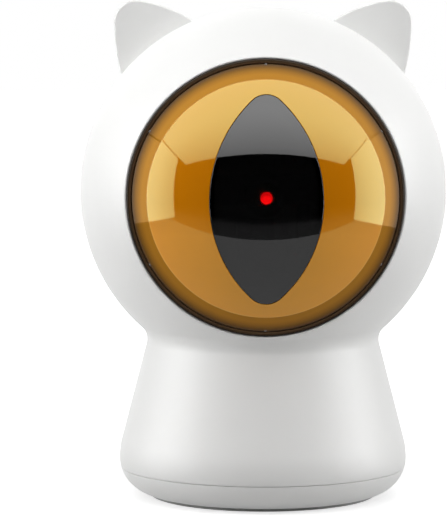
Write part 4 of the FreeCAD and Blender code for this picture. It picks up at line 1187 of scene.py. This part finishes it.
@dataclass
class PowerButton:
    """Dished round button in the back of the skirt.

    The flange has a radius, a back and a front; the stem a radius and a length; the dish a lip
    and an inner inset, and a depth at each. The rounds are the stem's, the flange's, the
    button's edge and the dish's.
    """

    outline: BodyOutline
    radius: float = 4.7
    middle_z: float = 28.5
    proud: float = 1.1
    play: float = 0.1
    flange: Triple = (5.5, 29.667, 30.567)
    stem: Pair = (2.2, 0.25)
    dish: Pair = (1.25, 1.7)
    dish_depths: Pair = (0.3, 0.45)
    rounds: tuple[float, ...] = (0.05, 0.1, 0.55, 0.35)
    columns: int = 96

    def power_button(self) -> Piece:
        """Dished round button with its flange and stem, a profile turned about a line along Y.

        Returns:
            The object.
        """
        end = self.outline.skirt_radius_at(self.middle_z) + self.proud
        flange, flange_back, flange_front = self.flange
        stem, stem_length = self.stem
        radius, stem_end = self.radius, flange_back - stem_length
        lip, dish = self.dish
        dish_edge, dish_middle = self.dish_depths
        stem_round, flange_round, edge_round, dish_round = self.rounds
        profile = rounded_path(
            [(0.0, stem_end), (stem, stem_end), (stem, flange_back), (flange, flange_back),
             (flange, flange_front), (radius, flange_front), (radius, end), (radius - lip, end),
             (radius - dish, end - dish_edge), (0.0, end - dish_middle)],
            [0.0, stem_round, stem_round, *[flange_round] * 3, edge_round, dish_round, dish_round, 0.0],
            closed=False)
        turn = full_turn(self.columns)
        reach, along = profile[:, :1], profile[:, 1:]
        points = points_of(reach * np.cos(turn), along, self.middle_z + reach * np.sin(turn))
        return settled(ringed_mesh("power_button_skin", points))


@dataclass(kw_only=True)
class Moulding:
    """What the mouldings share: the outline, the round of their edges and their screw holes.

    Solids that meet run a little way into one another: that is how far they are sunk.
    """

    outline: BodyOutline
    edge_round: float = 0.18
    well_radius: float = 1.65
    screw_hole_radius: float = 1.15
    sunk: float = 1.0


@dataclass(kw_only=True)
class Shells(Moulding):
    """Front and rear shells.

    The four edge rows are the shares at which the second row, the first and the last of the
    even ones and the last but one lie.
    """

    lens: LensGroup
    ears: Ears
    button: PowerButton
    head_boss: Point = (30.0, 112.0)
    skirt_boss: Point = (29.82, 22.0)
    boss_radius: float = 3.0
    well_seat_y: float = 9.0
    back_cut_y: float = 25.0
    socket_half: Pair = (4.7, 1.85)
    socket_z: float = 18.8
    light_place: Point = (8.5, 24.5)
    light_radius: float = 1.05
    columns: int = 96
    edge_columns: Pair = (0.975, 0.995)
    over_columns: int = 150
    opening_rows: tuple[int, int] = (34, 24)
    back_rows: int = 44
    edge_rows: tuple[float, float, float, float] = (0.002, 0.02, 0.98, 0.992)
    slot_steps: int = 14
    light_steps: int = 32

    def flank_sheet(self, inset: float, front: bool, low_z: float) -> Array:
        """Half of the flank below the head, turned about Z between the parting plane's sides.

        At radius r the parting plane is at t = 90 degrees + asin(y / r) on either side.

        Args:
            inset: How far inside the outer surface.
            front: True for the half with the lens opening.
            low_z: Height at which it ends.

        Returns:
            The grid, its rows from the neck down.
        """
        profile = self.outline.flank(inset, low_z)
        limit = np.pi / 2.0 + np.arcsin(self.outline.parting_y / profile[:, :1])
        inner, outer = self.edge_columns
        middle = np.linspace(-inner, inner, self.columns)
        steps = np.concatenate([[-1.0, -outer], middle, [outer, 1.0]])[None]
        return turned_about_z(profile, steps * limit if front else np.pi + steps * (np.pi - limit))

    def head_border(self, inset: float, neck_row: Array, front: bool) -> Array:
        """Border of half the head: the neck's row, then over the top in the parting plane.

        Args:
            inset: How far inside the outer surface.
            neck_row: The flank's first row.
            front: True for the half with the lens opening.

        Returns:
            The border's points, right round.
        """
        middle = self.outline.head_centre_z
        circle = math.sqrt((self.outline.head_radius - inset) ** 2 - self.outline.parting_y ** 2)
        last, first = neck_row[-1], neck_row[0]
        start = math.atan2(last[2] - middle, last[0])
        end = math.atan2(first[2] - middle, first[0])
        end += math.tau if front and end < start else 0.0
        end -= math.tau if not front and end > start else 0.0
        turn = np.linspace(start, end, self.over_columns)[1:-1]
        over = points_of(circle * np.cos(turn), self.outline.parting_y, middle + circle * np.sin(turn))
        return np.concatenate([neck_row, over])

    def head_rows(self, inset: float, border: Array, axis: float, start_angle: float,
                  rows: int) -> Array:
        """Half of the head as rows around the Y axis, from an angle out to the border.

        With w the border point's direction from the axis, a point is
        centre + R (sin a w + cos a axis) for a from the start angle to the border's own angle.

        Args:
            inset: How far inside the outer surface.
            border: The border's points.
            axis: -1 for the front half, 1 for the rear half.
            start_angle: Angle from the axis at which the rows start.
            rows: How many rows lie between the first two and the last two.

        Returns:
            The grid.
        """
        radius = self.outline.head_radius - inset
        centre = np.array([0.0, 0.0, self.outline.head_centre_z])
        way = (border - centre) / radius
        flat = np.hypot(way[:, 0], way[:, 2])
        border_angle = np.arctan2(flat, way[:, 1] * axis)
        spoke = points_of(way[:, 0], 0.0, way[:, 2]) / flat[:, None]
        second, start, end, last = self.edge_rows
        share = np.concatenate([[0.0, second], np.linspace(start, end, rows), [last, 1.0]])
        angle = start_angle + share[:, None] * (border_angle - start_angle)
        pole = np.array([0.0, axis, 0.0])
        return centre + radius * (np.sin(angle)[..., None] * spoke
                                  + np.cos(angle)[..., None] * pole)

    def opening(self, border: Array) -> Array:
        """The lens opening's bore and rounded edge, below the head's first row.

        Args:
            border: The border's points.

        Returns:
            The grid, with a column for each point of the border.
        """
        flat = border[:, [0, 2]] - np.array([0.0, self.outline.head_centre_z])
        ways = flat / np.hypot(flat[:, 0], flat[:, 1])[:, None]
        return np.stack(self.lens.circles(self.lens.opening_profile(), ways))

    def half(self, name: str, front: bool) -> Piece:
        """One half of the shell, as a closed wall.

        Args:
            name: Name of the new object.
            front: True for the half with the lens opening.

        Returns:
            The object.
        """
        outline, insets = self.outline, (0.0, self.outline.wall)
        low_z = outline.seam_z + outline.seam_gap / 2.0
        flanks = [self.flank_sheet(inset, front, low_z) for inset in insets]
        columns = flanks[0].shape[1]
        borders = [self.head_border(inset, flank[0], front) for inset, flank in zip(insets, flanks)]
        if front:
            starts = (self.lens.opening_profile()[-1], (self.lens.seat_radius, self.lens.seat_depth))
            outer, inner = (self.head_rows(inset, border, -1.0, math.atan2(*start), rows)
                            for inset, border, start, rows
                            in zip(insets, borders, starts, self.opening_rows))
            heads = [np.concatenate([inner[::-1], self.opening(borders[0]), outer])]
        else:
            heads = [self.head_rows(inset, border, 1.0, 0.0, self.back_rows)
                     for inset, border in zip(insets, borders)]
        sheets = [Sheet(head, wrap_columns=True) for head in heads] + [Sheet(f) for f in flanks]
        sheets.append(Sheet(np.stack([flank[-1] for flank in flanks])))
        edges = [np.concatenate([flank[::-1, -1], border[columns:], flank[:, 0]])
                 for flank, border in zip(flanks, borders)]
        sheets.append(Sheet(np.stack(edges)))
        piece = solid_mesh(name, sheets)
        rounded_edges(piece, self.edge_round)
        return piece

    def boss_places(self) -> Array:
        """The four case screws' (x, z)."""
        places = np.array([self.head_boss, self.skirt_boss])
        return np.concatenate([places, places * (-1.0, 1.0)])

    def boss(self, place: Array) -> Piece:
        """Tube of a case screw, from the parting plane into the wall, whose end follows it.

        Args:
            place: The screw's (x, z).

        Returns:
            The object.
        """
        circle = round_outline(self.boss_radius, tuple(place))
        middle = np.broadcast_to(place, circle.shape)

        def wall_y(flat: Array) -> Array:
            """Depth of the wall's middle behind flat (x, z) points."""
            radius = self.outline.radius_at(flat[:, 1]) - self.outline.wall / 2.0
            return np.sqrt(radius ** 2 - flat[:, 0] ** 2)

        start = self.outline.parting_y
        return ringed_mesh("boss", [
            points_of(flat[:, 0], y, flat[:, 1])
            for flat, y in ((middle, start), (circle, start), (circle, wall_y(circle)),
                            (middle, wall_y(middle)))])

    def front_shell(self) -> Piece:
        """Front half with the lens opening."""
        return settled(self.half("front_shell_skin", True))

    def rear_shell(self) -> Piece:
        """Rear half with ears, screw wells, button opening, socket slot and light hole.

        Returns:
            The object.
        """
        piece = self.half("rear_shell_skin", False)
        places = self.boss_places()
        combined(piece, [self.ears.ear(side) for side in (1.0, -1.0)], Join.ADD)
        combined(piece, [self.boss(place) for place in places], Join.ADD)
        far, near = 2.0 * self.outline.head_radius, self.back_cut_y
        reach, height = self.socket_half[0] - self.socket_half[1], self.socket_half[1]
        slot = np.concatenate([arc((reach, self.socket_z), height, -90.0, 90.0, self.slot_steps),
                               arc((-reach, self.socket_z), height, 90.0, 270.0, self.slot_steps)])
        button = round_outline(self.button.radius + self.button.play,
                               (0.0, self.button.middle_z))
        light = round_outline(self.light_radius, self.light_place, self.light_steps)
        cuts = pegs("well", places, self.well_radius, Along.Y, self.well_seat_y, far)
        cuts += [bar(name, outline, Along.Y, near, far) for name, outline
                 in (("button_hole", button), ("socket_slot", slot), ("light_hole", light))]
        combined(piece, cuts, Join.CUT)
        combined(piece, pegs("hole", places, self.screw_hole_radius, Along.Y, 0.0,
                             self.well_seat_y + self.sunk), Join.CUT)
        return piece


@dataclass(kw_only=True)
class Base(Moulding):
    """Base tray, foot ring and battery door.

    A floor boss has a radius and a top, a hinge pin a radius and an end, and a ridge of the
    door's grip a distance from the grip's straight edge and a half width.
    """

    foot_radii: Pair = (28.81, 30.61)
    foot_thickness: float = 2.0
    foot_round: float = 0.5
    foot_top_round: float = 0.15
    foot_play: float = 0.1
    groove_support: float = 0.4
    leg_place: Point = (15.5, 19.8)
    floor_screw_y: float = 26.56
    floor_seat_z: float = 2.2
    floor_boss: Pair = (2.6, 5.6)
    box_half: Pair = (26.0, 17.45)
    box_corner: float = 2.0
    box_floor_z: float = 3.95
    ledge_width: float = 1.1
    ledge_play: float = 0.05
    mouth_half_y: float = 16.45
    mouth_corner: float = 1.0
    cut_top_z: float = 8.0
    cut_overlap: float = 0.5
    door_half: Pair = (24.5, 16.5)
    door_corner: float = 4.0
    door_small_corner: float = 0.3
    door_hinge_half: float = 18.0
    door_relief: float = 3.5
    door_thickness: float = 2.0
    door_edge_round: float = 0.2
    door_gap: float = 0.15
    door_pin: Pair = (0.5, 20.5)
    door_barrel_relief: float = 0.01
    grip_radius: float = 5.0
    grip_y: float = -9.5
    grip_depth: float = 0.8
    grip_ridges: tuple[Pair, ...] = ((1.2, 4.0), (2.5, 3.4), (3.8, 2.2))
    ridge_half: float = 0.25
    ridge_recess: float = 0.2
    ridge_root: float = 0.3
    tray_columns: int = 220
    foot_columns: int = 200
    hinge_columns: int = 32
    scoop_steps: int = 30

    def floor_places(self) -> list[Point]:
        """The six floor screws' (x, y)."""
        x, y = self.leg_place
        return [(x, y), (-x, y), (x, -y), (-x, -y), (0.0, self.floor_screw_y),
                (0.0, -self.floor_screw_y)]

    def door_outline(self, grow: float) -> Array:
        """The door's plan, its two corners beside the hinge cut back.

        Args:
            grow: How far outside the door's own edge.

        Returns:
            Points (x, y), anticlockwise.
        """
        x, y = self.door_half[0] + grow, self.door_half[1] + grow
        hinge = self.door_hinge_half + grow
        relief = self.door_half[1] - self.door_relief + grow
        corner = self.door_corner + grow
        return rounded_path([(x, -y), (x, relief), (hinge, relief), (hinge, y), (-hinge, y),
                             (-hinge, relief), (-x, relief), (-x, -y)],
                            [corner, *[self.door_small_corner] * 6, corner], steps=8)

    def base_tray(self) -> Piece:
        """Bottom tray from the seam to the underside, with foot groove and battery opening.

        Returns:
            The object.
        """
        outline, wall = self.outline, self.outline.wall
        high_z = outline.seam_z - outline.seam_gap / 2.0
        groove_in = self.foot_radii[0] - self.foot_play
        groove_out = self.foot_radii[1] + self.foot_play
        run = groove_out - outline.widest_radius + outline.tray_round
        groove_z = outline.widest_z - math.sqrt(outline.tray_round ** 2 - run ** 2)
        outer = outline.tray_arc(0.0, high_z, groove_z)
        inner = outline.tray_arc(wall, high_z, outline.underside_z + wall)
        low, top = outline.underside_z, self.foot_thickness
        profile = np.concatenate([
            [(0.0, low), (groove_in - self.groove_support, low), (groove_in, low), (groove_in, top),
             (groove_out, top)], outer[::-1], inner, [(0.0, low + wall)]])
        piece = ringed_mesh("base_tray_skin", turned_about_z(profile, full_turn(self.tray_columns)))
        rounded_edges(piece, self.edge_round)
        places, (radius, boss_top) = self.floor_places(), self.floor_boss
        bay = box_outline(*self.box_half, self.box_corner)
        combined(piece, [bar("bay", bay, Along.Z, low + self.sunk, self.box_floor_z)], Join.ADD)
        combined(piece, pegs("floor_boss", places, radius, Along.Z, low + wall / 2.0, boss_top),
                 Join.ADD)
        ledge_z = low + self.door_thickness + self.ledge_play
        door = self.door_outline(self.door_gap)
        combined(piece, [bar("door_hole", door, Along.Z, -self.sunk, ledge_z)]
                 + pegs("recess", places, self.well_radius, Along.Z, -self.sunk,
                        self.floor_seat_z), Join.CUT)
        mouth = box_outline(self.door_half[0] - self.ledge_width, self.mouth_half_y, self.mouth_corner)
        combined(piece, [bar("mouth", mouth, Along.Z, ledge_z - self.cut_overlap, self.cut_top_z)]
                 + pegs("hole", places, self.screw_hole_radius, Along.Z, self.sunk,
                        self.cut_top_z), Join.CUT)
        return piece

    def foot_ring(self) -> Piece:
        """Soft ring with rounded lower edges, a profile turned about Z.

        Returns:
            The object.
        """
        inner, outer = self.foot_radii
        profile = rounded_path([(inner, 0.0), (outer, 0.0), (outer, self.foot_thickness),
                                (inner, self.foot_thickness)],
                               [self.foot_round] * 2 + [self.foot_top_round] * 2)
        points = turned_about_z(profile, full_turn(self.foot_columns))
        return settled(ringed_mesh("foot_ring_skin", points, wrap_rows=True))

    def battery_door(self) -> Piece:
        """Door with a round hinge edge on two pins, and a finger scoop with three ridges.

        Returns:
            The object.
        """
        low = self.outline.underside_z
        half_thick = self.door_thickness / 2.0
        axis_y, axis_z = self.door_half[1] - half_thick, low + half_thick
        flat = self.door_outline(0.0)
        flat[:, 1] = np.minimum(flat[:, 1], axis_y)
        piece = bar("battery_door_skin", flat, Along.Z, low, low + self.door_thickness)
        rounded_edges(piece, self.door_edge_round)
        pin_radius, pin_end = self.door_pin
        hinge_end, barrel = self.door_hinge_half, half_thick - self.door_barrel_relief
        profile = np.array([(0.0, -pin_end), (pin_radius, -pin_end), (pin_radius, -hinge_end),
                            (barrel, -hinge_end), (barrel, hinge_end), (pin_radius, hinge_end),
                            (pin_radius, pin_end), (0.0, pin_end)])
        radius, place = profile[:, :1], profile[:, 1:]
        turn = full_turn(self.hinge_columns)
        hinge = points_of(place, axis_y + radius * np.cos(turn), axis_z + radius * np.sin(turn))
        combined(piece, [ringed_mesh("hinge", hinge)], Join.ADD)
        half_disc = arc((0.0, self.grip_y), self.grip_radius, 180.0, 360.0, self.scoop_steps)
        grip_top = low + self.grip_depth
        combined(piece, [bar("scoop", half_disc, Along.Z, low - self.sunk, grip_top)], Join.CUT)
        ridges = []
        for drop, half_x in self.grip_ridges:
            front, back = (self.grip_y - drop + way * self.ridge_half for way in (-1.0, 1.0))
            section = np.array([(-half_x, front), (half_x, front), (half_x, back), (-half_x, back)])
            ridges.append(bar("ridge", section, Along.Z, low + self.ridge_recess,
                              grip_top + self.ridge_root))
        combined(piece, ridges, Join.ADD)
        return piece


# ---------------------------------------------------------------- studio
WHITE = (1.0, 1.0, 1.0, 1.0)


class Ray(Enum):
    """Which rays see the world's and the floor's white."""

    CAMERA = "Is Camera Ray"
    GLOSSY = "Is Glossy Ray"
    TRANSMISSION = "Is Transmission Ray"


@dataclass(frozen=True)
class Card:
    """A card that only reflections see.

    Its corners are two of its first edge, then two of its last edge, in millimetres. Its stops
    are pairs of place, from the first edge to the last, and brightness.
    """

    name: str
    corners: tuple[Place, Place, Place, Place]
    stops: tuple[Pair, ...]
    steps: int = 30

    def build(self) -> None:
        """Makes the card: the point at a share t is first + t (last - first)."""
        low, high = np.array(self.corners[:2], float), np.array(self.corners[2:], float)
        steps = np.linspace(0.0, 1.0, self.steps)
        card = solid_mesh(self.name, [Sheet(low[None] + steps[:, None, None] * (high - low)[None])])
        places = np.zeros(len(card.data.vertices) * 3, np.float32)
        card.data.vertices.foreach_get("co", places)
        first, span = low.mean(axis=0), high.mean(axis=0) - low.mean(axis=0)
        share = np.clip((places.reshape(-1, 3) / MM - first) @ span / (span @ span), 0.0, 1.0)
        bright = np.interp(share, steps, np.interp(steps, *np.array(self.stops).T))
        layer = card.data.attributes.new("bright", "FLOAT", "POINT")
        layer.data.foreach_set("value", bright.astype(np.float32))
        material = bpy.data.materials.new(self.name)
        nodes = Nodes(material)
        nodes.tree.nodes.clear()
        reading = nodes.add("ShaderNodeAttribute", attribute_name="bright").outputs["Fac"]
        glow = nodes.add("ShaderNodeEmission", {"Strength": reading}).outputs[0]
        nodes.add("ShaderNodeOutputMaterial", {"Surface": glow})
        card.data.materials.append(material)
        for flag in ("camera", "diffuse", "transmission", "volume_scatter", "shadow"):
            setattr(card, f"visible_{flag}", False)


@dataclass(frozen=True)
class Lamp:
    """A soft rectangular lamp that lights the object but isn't seen in it."""

    name: str
    place: Place
    size: Pair
    power: float
    target: Place
    spread_deg: float = 180.0

    def build(self) -> None:
        """Makes the lamp and turns it to its target."""
        data = bpy.data.lights.new(self.name, "AREA")
        data.shape = "RECTANGLE"
        data.size, data.size_y = self.size[0] * MM, self.size[1] * MM
        data.energy = self.power
        data.spread = math.radians(self.spread_deg)
        lamp = placed(bpy.data.objects.new(self.name, data))
        lamp.location = Vector(self.place) * MM
        aim = Vector(self.target) * MM - lamp.location
        lamp.rotation_euler = aim.to_track_quat("-Z", "Y").to_euler()
        lamp.visible_glossy = False
        lamp.visible_camera = False


@dataclass
class Studio:
    """Floor, world, reflected cards, lamps and the camera."""

    outline: BodyOutline
    camera_distance: float = 787.0
    camera_elevation_deg: float = 3.5
    camera_azimuth_deg: float = -1.17
    focal_pixels: float = 2931.0
    picture: tuple[int, int] = (447, 520)
    centre_pixel: Point = (263.0, 190.35)
    sensor: float = 36.0
    clip_end: float = 20.0
    world_light: float = 0.10
    floor_half: float = 4000.0
    floor_grey: float = 0.62
    floor_roughness: float = 0.9
    white_from: float = 0.06
    white_to: float = 0.35
    card_half: float = 1500.0
    front_card_y: float = -900.0
    side_joint_y: float = 300.0
    side_top_z: float = 1024.0
    back_end_y: float = 760.0
    back_low_z: float = -170.0

    def camera(self) -> None:
        """Aims the camera so that the head's centre falls on its pixel of the picture."""
        data = bpy.data.cameras.new("camera")
        data.sensor_width = self.sensor
        data.lens = self.focal_pixels * self.sensor / self.picture[1]
        data.clip_end = self.clip_end
        camera = placed(bpy.data.objects.new("camera", data))
        azimuth = math.radians(self.camera_azimuth_deg)
        elevation = math.radians(self.camera_elevation_deg)
        way = Vector((math.sin(azimuth) * math.cos(elevation),
                      -math.cos(azimuth) * math.cos(elevation), math.sin(elevation)))
        centre = Vector((0.0, 0.0, self.outline.head_centre_z)) * MM
        camera.location = centre + way * self.camera_distance * MM
        right = way.cross(Vector((0.0, 0.0, -1.0))).normalized()
        up = right.cross(-way)
        aside = self.centre_pixel[0] - self.picture[0] / 2.0
        above = self.picture[1] / 2.0 - self.centre_pixel[1]
        aim = -way * self.focal_pixels - right * aside - up * above
        camera.rotation_euler = aim.to_track_quat("-Z", "Y").to_euler()
        bpy.context.scene.camera = camera

    def white_for(self, nodes: Nodes) -> Socket:
        """1 for rays of the camera, reflections and glass, else 0.

        Args:
            nodes: The tree that asks.

        Returns:
            The greatest of the rays' own values.
        """
        path = nodes.add("ShaderNodeLightPath")
        total, *others = (path.outputs[ray.value] for ray in Ray)
        for other in others:
            total = nodes.math("MAXIMUM", total, other)
        return total

    def world(self) -> None:
        """White to the camera, reflections and glass; dimmer as a source of light."""
        world = bpy.data.worlds.new("studio")
        bpy.context.scene.world = world
        nodes = Nodes(world, "Background")
        nodes.set(Color=WHITE, Strength=nodes.spread(self.white_for(nodes), self.world_light, 1.0))

    def floor(self) -> None:
        """Pale floor that keeps a soft shadow and melts into the background."""
        half = self.floor_half
        floor = solid_mesh("floor", [Sheet(np.array([[(-half, -half, 0.0), (half, -half, 0.0)],
                                                     [(-half, half, 0.0), (half, half, 0.0)]]))])
        material = bpy.data.materials.new("floor_white")
        nodes = Nodes(material)
        distance = nodes.add("ShaderNodeVectorMath", {0: nodes.place}, operation="LENGTH")
        white = nodes.add("ShaderNodeMapRange", {
            "Value": distance.outputs["Value"], "From Min": self.white_from,
            "From Max": self.white_to, "To Min": self.floor_grey}).outputs["Result"]
        glow = nodes.math("MULTIPLY", self.white_for(nodes), white)
        nodes.set(Base_Color=(*[self.floor_grey] * 3, 1.0), Roughness=self.floor_roughness,
                  Specular_IOR_Level=0.0, Emission_Color=WHITE, Emission_Strength=glow)
        floor.data.materials.append(material)
        floor.visible_glossy = False

    def cards(self) -> list[Card]:
        """The dark opening in front of the lens, the panel above it and two panels a side.

        Returns:
            The cards.
        """
        y, joint, top, back_low = self.front_card_y, self.side_joint_y, self.side_top_z, self.back_low_z
        cards = [
            Card("dark_opening", ((-2200.0, y, 760.0), (2200.0, y, 760.0), (-2200.0, y, -385.0),
                                  (2200.0, y, -385.0)),
                 ((0.0, 0.0), (0.82, 0.0), (0.85, 0.15), (1.0, 0.2))),
            Card("top_panel", ((-1159.0, -889.0, 515.0), (1167.0, -889.0, 515.0),
                               (-1107.0, 60.0, 757.0), (1126.0, 60.0, 757.0)),
                 ((0.0, 2.6), (0.25, 3.8), (0.5, 5.0), (1.0, 5.2)))]
        for side, name, near, low in ((-1.0, "left", -892.0, -312.0), (1.0, "right", -1010.0, -350.0)):
            x, high = side * self.card_half, 940.0 + 0.28 * near
            cards += [
                Card(f"{name}_panel", ((x, near, low), (x, near, high), (x, joint, low),
                                       (x, joint, top)), ((0.0, 3.4), (0.35, 5.4), (1.0, 7.0))),
                Card(f"{name}_back_panel",
                     ((x, joint, back_low), (x, joint, top), (x, self.back_end_y, back_low),
                      (x, self.back_end_y, top)), ((0.0, 3.0), (0.7, 2.8), (1.0, 2.0)))]
        return cards

    def lamps(self) -> list[Lamp]:
        """A wide lamp above, a small one at each side and one behind.

        Returns:
            The lamps.
        """
        sides = [Lamp(name, (x, -90.0, 250.0), (300.0, 300.0), power, (0.0, 0.0, 150.0), 70.0)
                 for name, x, power in (("left_lamp", -420.0, 0.295), ("right_lamp", 420.0, 0.235))]
        top = Lamp("top_lamp", (0.0, -200.0, 880.0), (1500.0, 900.0), 6.2, (0.0, 0.0, 60.0))
        back = Lamp("back_lamp", (0.0, 900.0, 420.0), (900.0, 600.0), 2.3, (0.0, 0.0, 70.0))
        return [top, *sides, back]

    def build(self) -> None:
        """Sets up everything that isn't the toy."""
        bpy.context.scene.view_settings.view_transform = "Standard"
        self.camera()
        self.world()
        self.floor()
        for item in self.cards() + self.lamps():
            item.build()


# ---------------------------------------------------------------- the toy
@dataclass
class Wardrobe:
    """The finish of each material slot, and the pieces that wear them.

    The clips' glossy finish has no slot of its own in the record and counts as the bezel's.
    """

    outline: BodyOutline
    lens: LensGroup
    white: Colour = (0.86, 0.86, 0.85)
    steel: Colour = (0.56, 0.56, 0.57)
    ring_inset: float = 1.35
    laser_radius: float = 1.5

    def finishes(self) -> dict[str, Finish]:
        """Finish of each slot of the record, and of the clips.

        Returns:
            The finishes by slot.
        """
        axis_z, rim = self.outline.head_centre_z, self.lens.opening_radius
        return {
            "shell_white": MouldedPlastic(self.white, specular=0.34),
            "button_white": MouldedPlastic(self.white, roughness=0.3, grain_depth=2e-6),
            "foot_rubber": Rubber((0.46, 0.46, 0.455)),
            "screw_steel": Metal(self.steel),
            "bezel_black": RimPlastic(rim - self.lens.gap, axis_z),
            "dome_amber": MirroredAmber(self.lens.cap_radius, rim - self.ring_inset, axis_z),
            "pupil_smoke": ClearPlastic((0.030, 0.030, 0.032), (0.015, 0.03),
                                        Mottle(60.0, 2.0, (0.2, 0.8), (1.0, 0.92)), 1.0, 1.5),
            "retainer_black": MouldedPlastic((0.02, 0.02, 0.02), roughness=0.5),
            "frame_grey": MouldedPlastic((0.30, 0.31, 0.32), roughness=0.5),
            "contact_nickel": Metal((0.62, 0.60, 0.56), 0.25),
            "cell_wrap": CellSleeve(),
            "bush_nylon": MouldedPlastic((0.72, 0.70, 0.64), roughness=0.5),
            "motor_steel": Metal(self.steel, 0.28),
            "pinion_brass": Metal((0.72, 0.52, 0.20), 0.25),
            "laser_red": GlowingLens(axis_z, self.laser_radius),
            "board_green": SolderMask(),
            "module_metal": Metal((0.66, 0.66, 0.64), 0.22),
            "chip_black": MouldedPlastic((0.02, 0.02, 0.022), roughness=0.55),
            "pipe_clear": ClearPlastic((0.85, 0.90, 0.95)),
            "clip_gloss": MouldedPlastic((0.10, 0.078, 0.06), roughness=0.16, grain_depth=1e-6,
                                         specular=0.9),
        }

    def dress(self) -> dict[str, bpy.types.Material]:
        """Makes every finish and puts it on the CAD nodes of its slot.

        Returns:
            The materials by slot.
        """
        made = {slot: finish.build(slot) for slot, finish in self.finishes().items()}
        for part in frame["record"]["subparts"]:
            mesh = frame["nodes"][part["node"]].data
            mesh.materials.clear()
            mesh.materials.append(made[part["material_slot"]])
        return made


def wear(piece: Piece, materials: dict[str, bpy.types.Material], slot: str, body: str,
         *nodes: str) -> None:
    """Gives a piece its finish, its body and the nodes that it stands for.

    Args:
        piece: The object.
        materials: The materials by slot.
        slot: The piece's slot, or clip_gloss.
        body: The body that it rides on.
        *nodes: The CAD nodes that it replaces.
    """
    piece.data.materials.clear()
    piece.data.materials.append(materials[slot])
    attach(piece, body)
    if nodes:
        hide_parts(*nodes)
    log.info("%s: %d faces, rides on %s", piece.name, len(piece.data.polygons), body)


def main() -> None:
    """Builds the studio and the toy."""
    logging.basicConfig(level=logging.INFO, format="%(name)s %(message)s")
    outline = BodyOutline()
    lens = LensGroup(outline)
    button = PowerButton(outline)
    shells = Shells(outline=outline, lens=lens, ears=Ears(outline), button=button)
    base = Base(outline=outline)
    Studio(outline).build()
    materials = Wardrobe(outline, lens).dress()
    wear(shells.front_shell(), materials, "shell_white", "housing", "front_shell")
    wear(shells.rear_shell(), materials, "shell_white", "housing", "rear_shell")
    wear(base.base_tray(), materials, "shell_white", "housing", "base_tray")
    wear(base.foot_ring(), materials, "foot_rubber", "housing", "foot_ring")
    wear(base.battery_door(), materials, "shell_white", "door", "battery_door")
    wear(button.power_button(), materials, "button_white", "button", "power_button")
    wear(lens.bezel(), materials, "bezel_black", "housing", "bezel_ring")
    wear(lens.dome(), materials, "dome_amber", "housing", "amber_dome")
    wear(lens.clips(), materials, "clip_gloss", "housing")
    wear(lens.pupil(), materials, "pupil_smoke", "housing", "pupil_window")


if __name__ == "__main__":
    main()
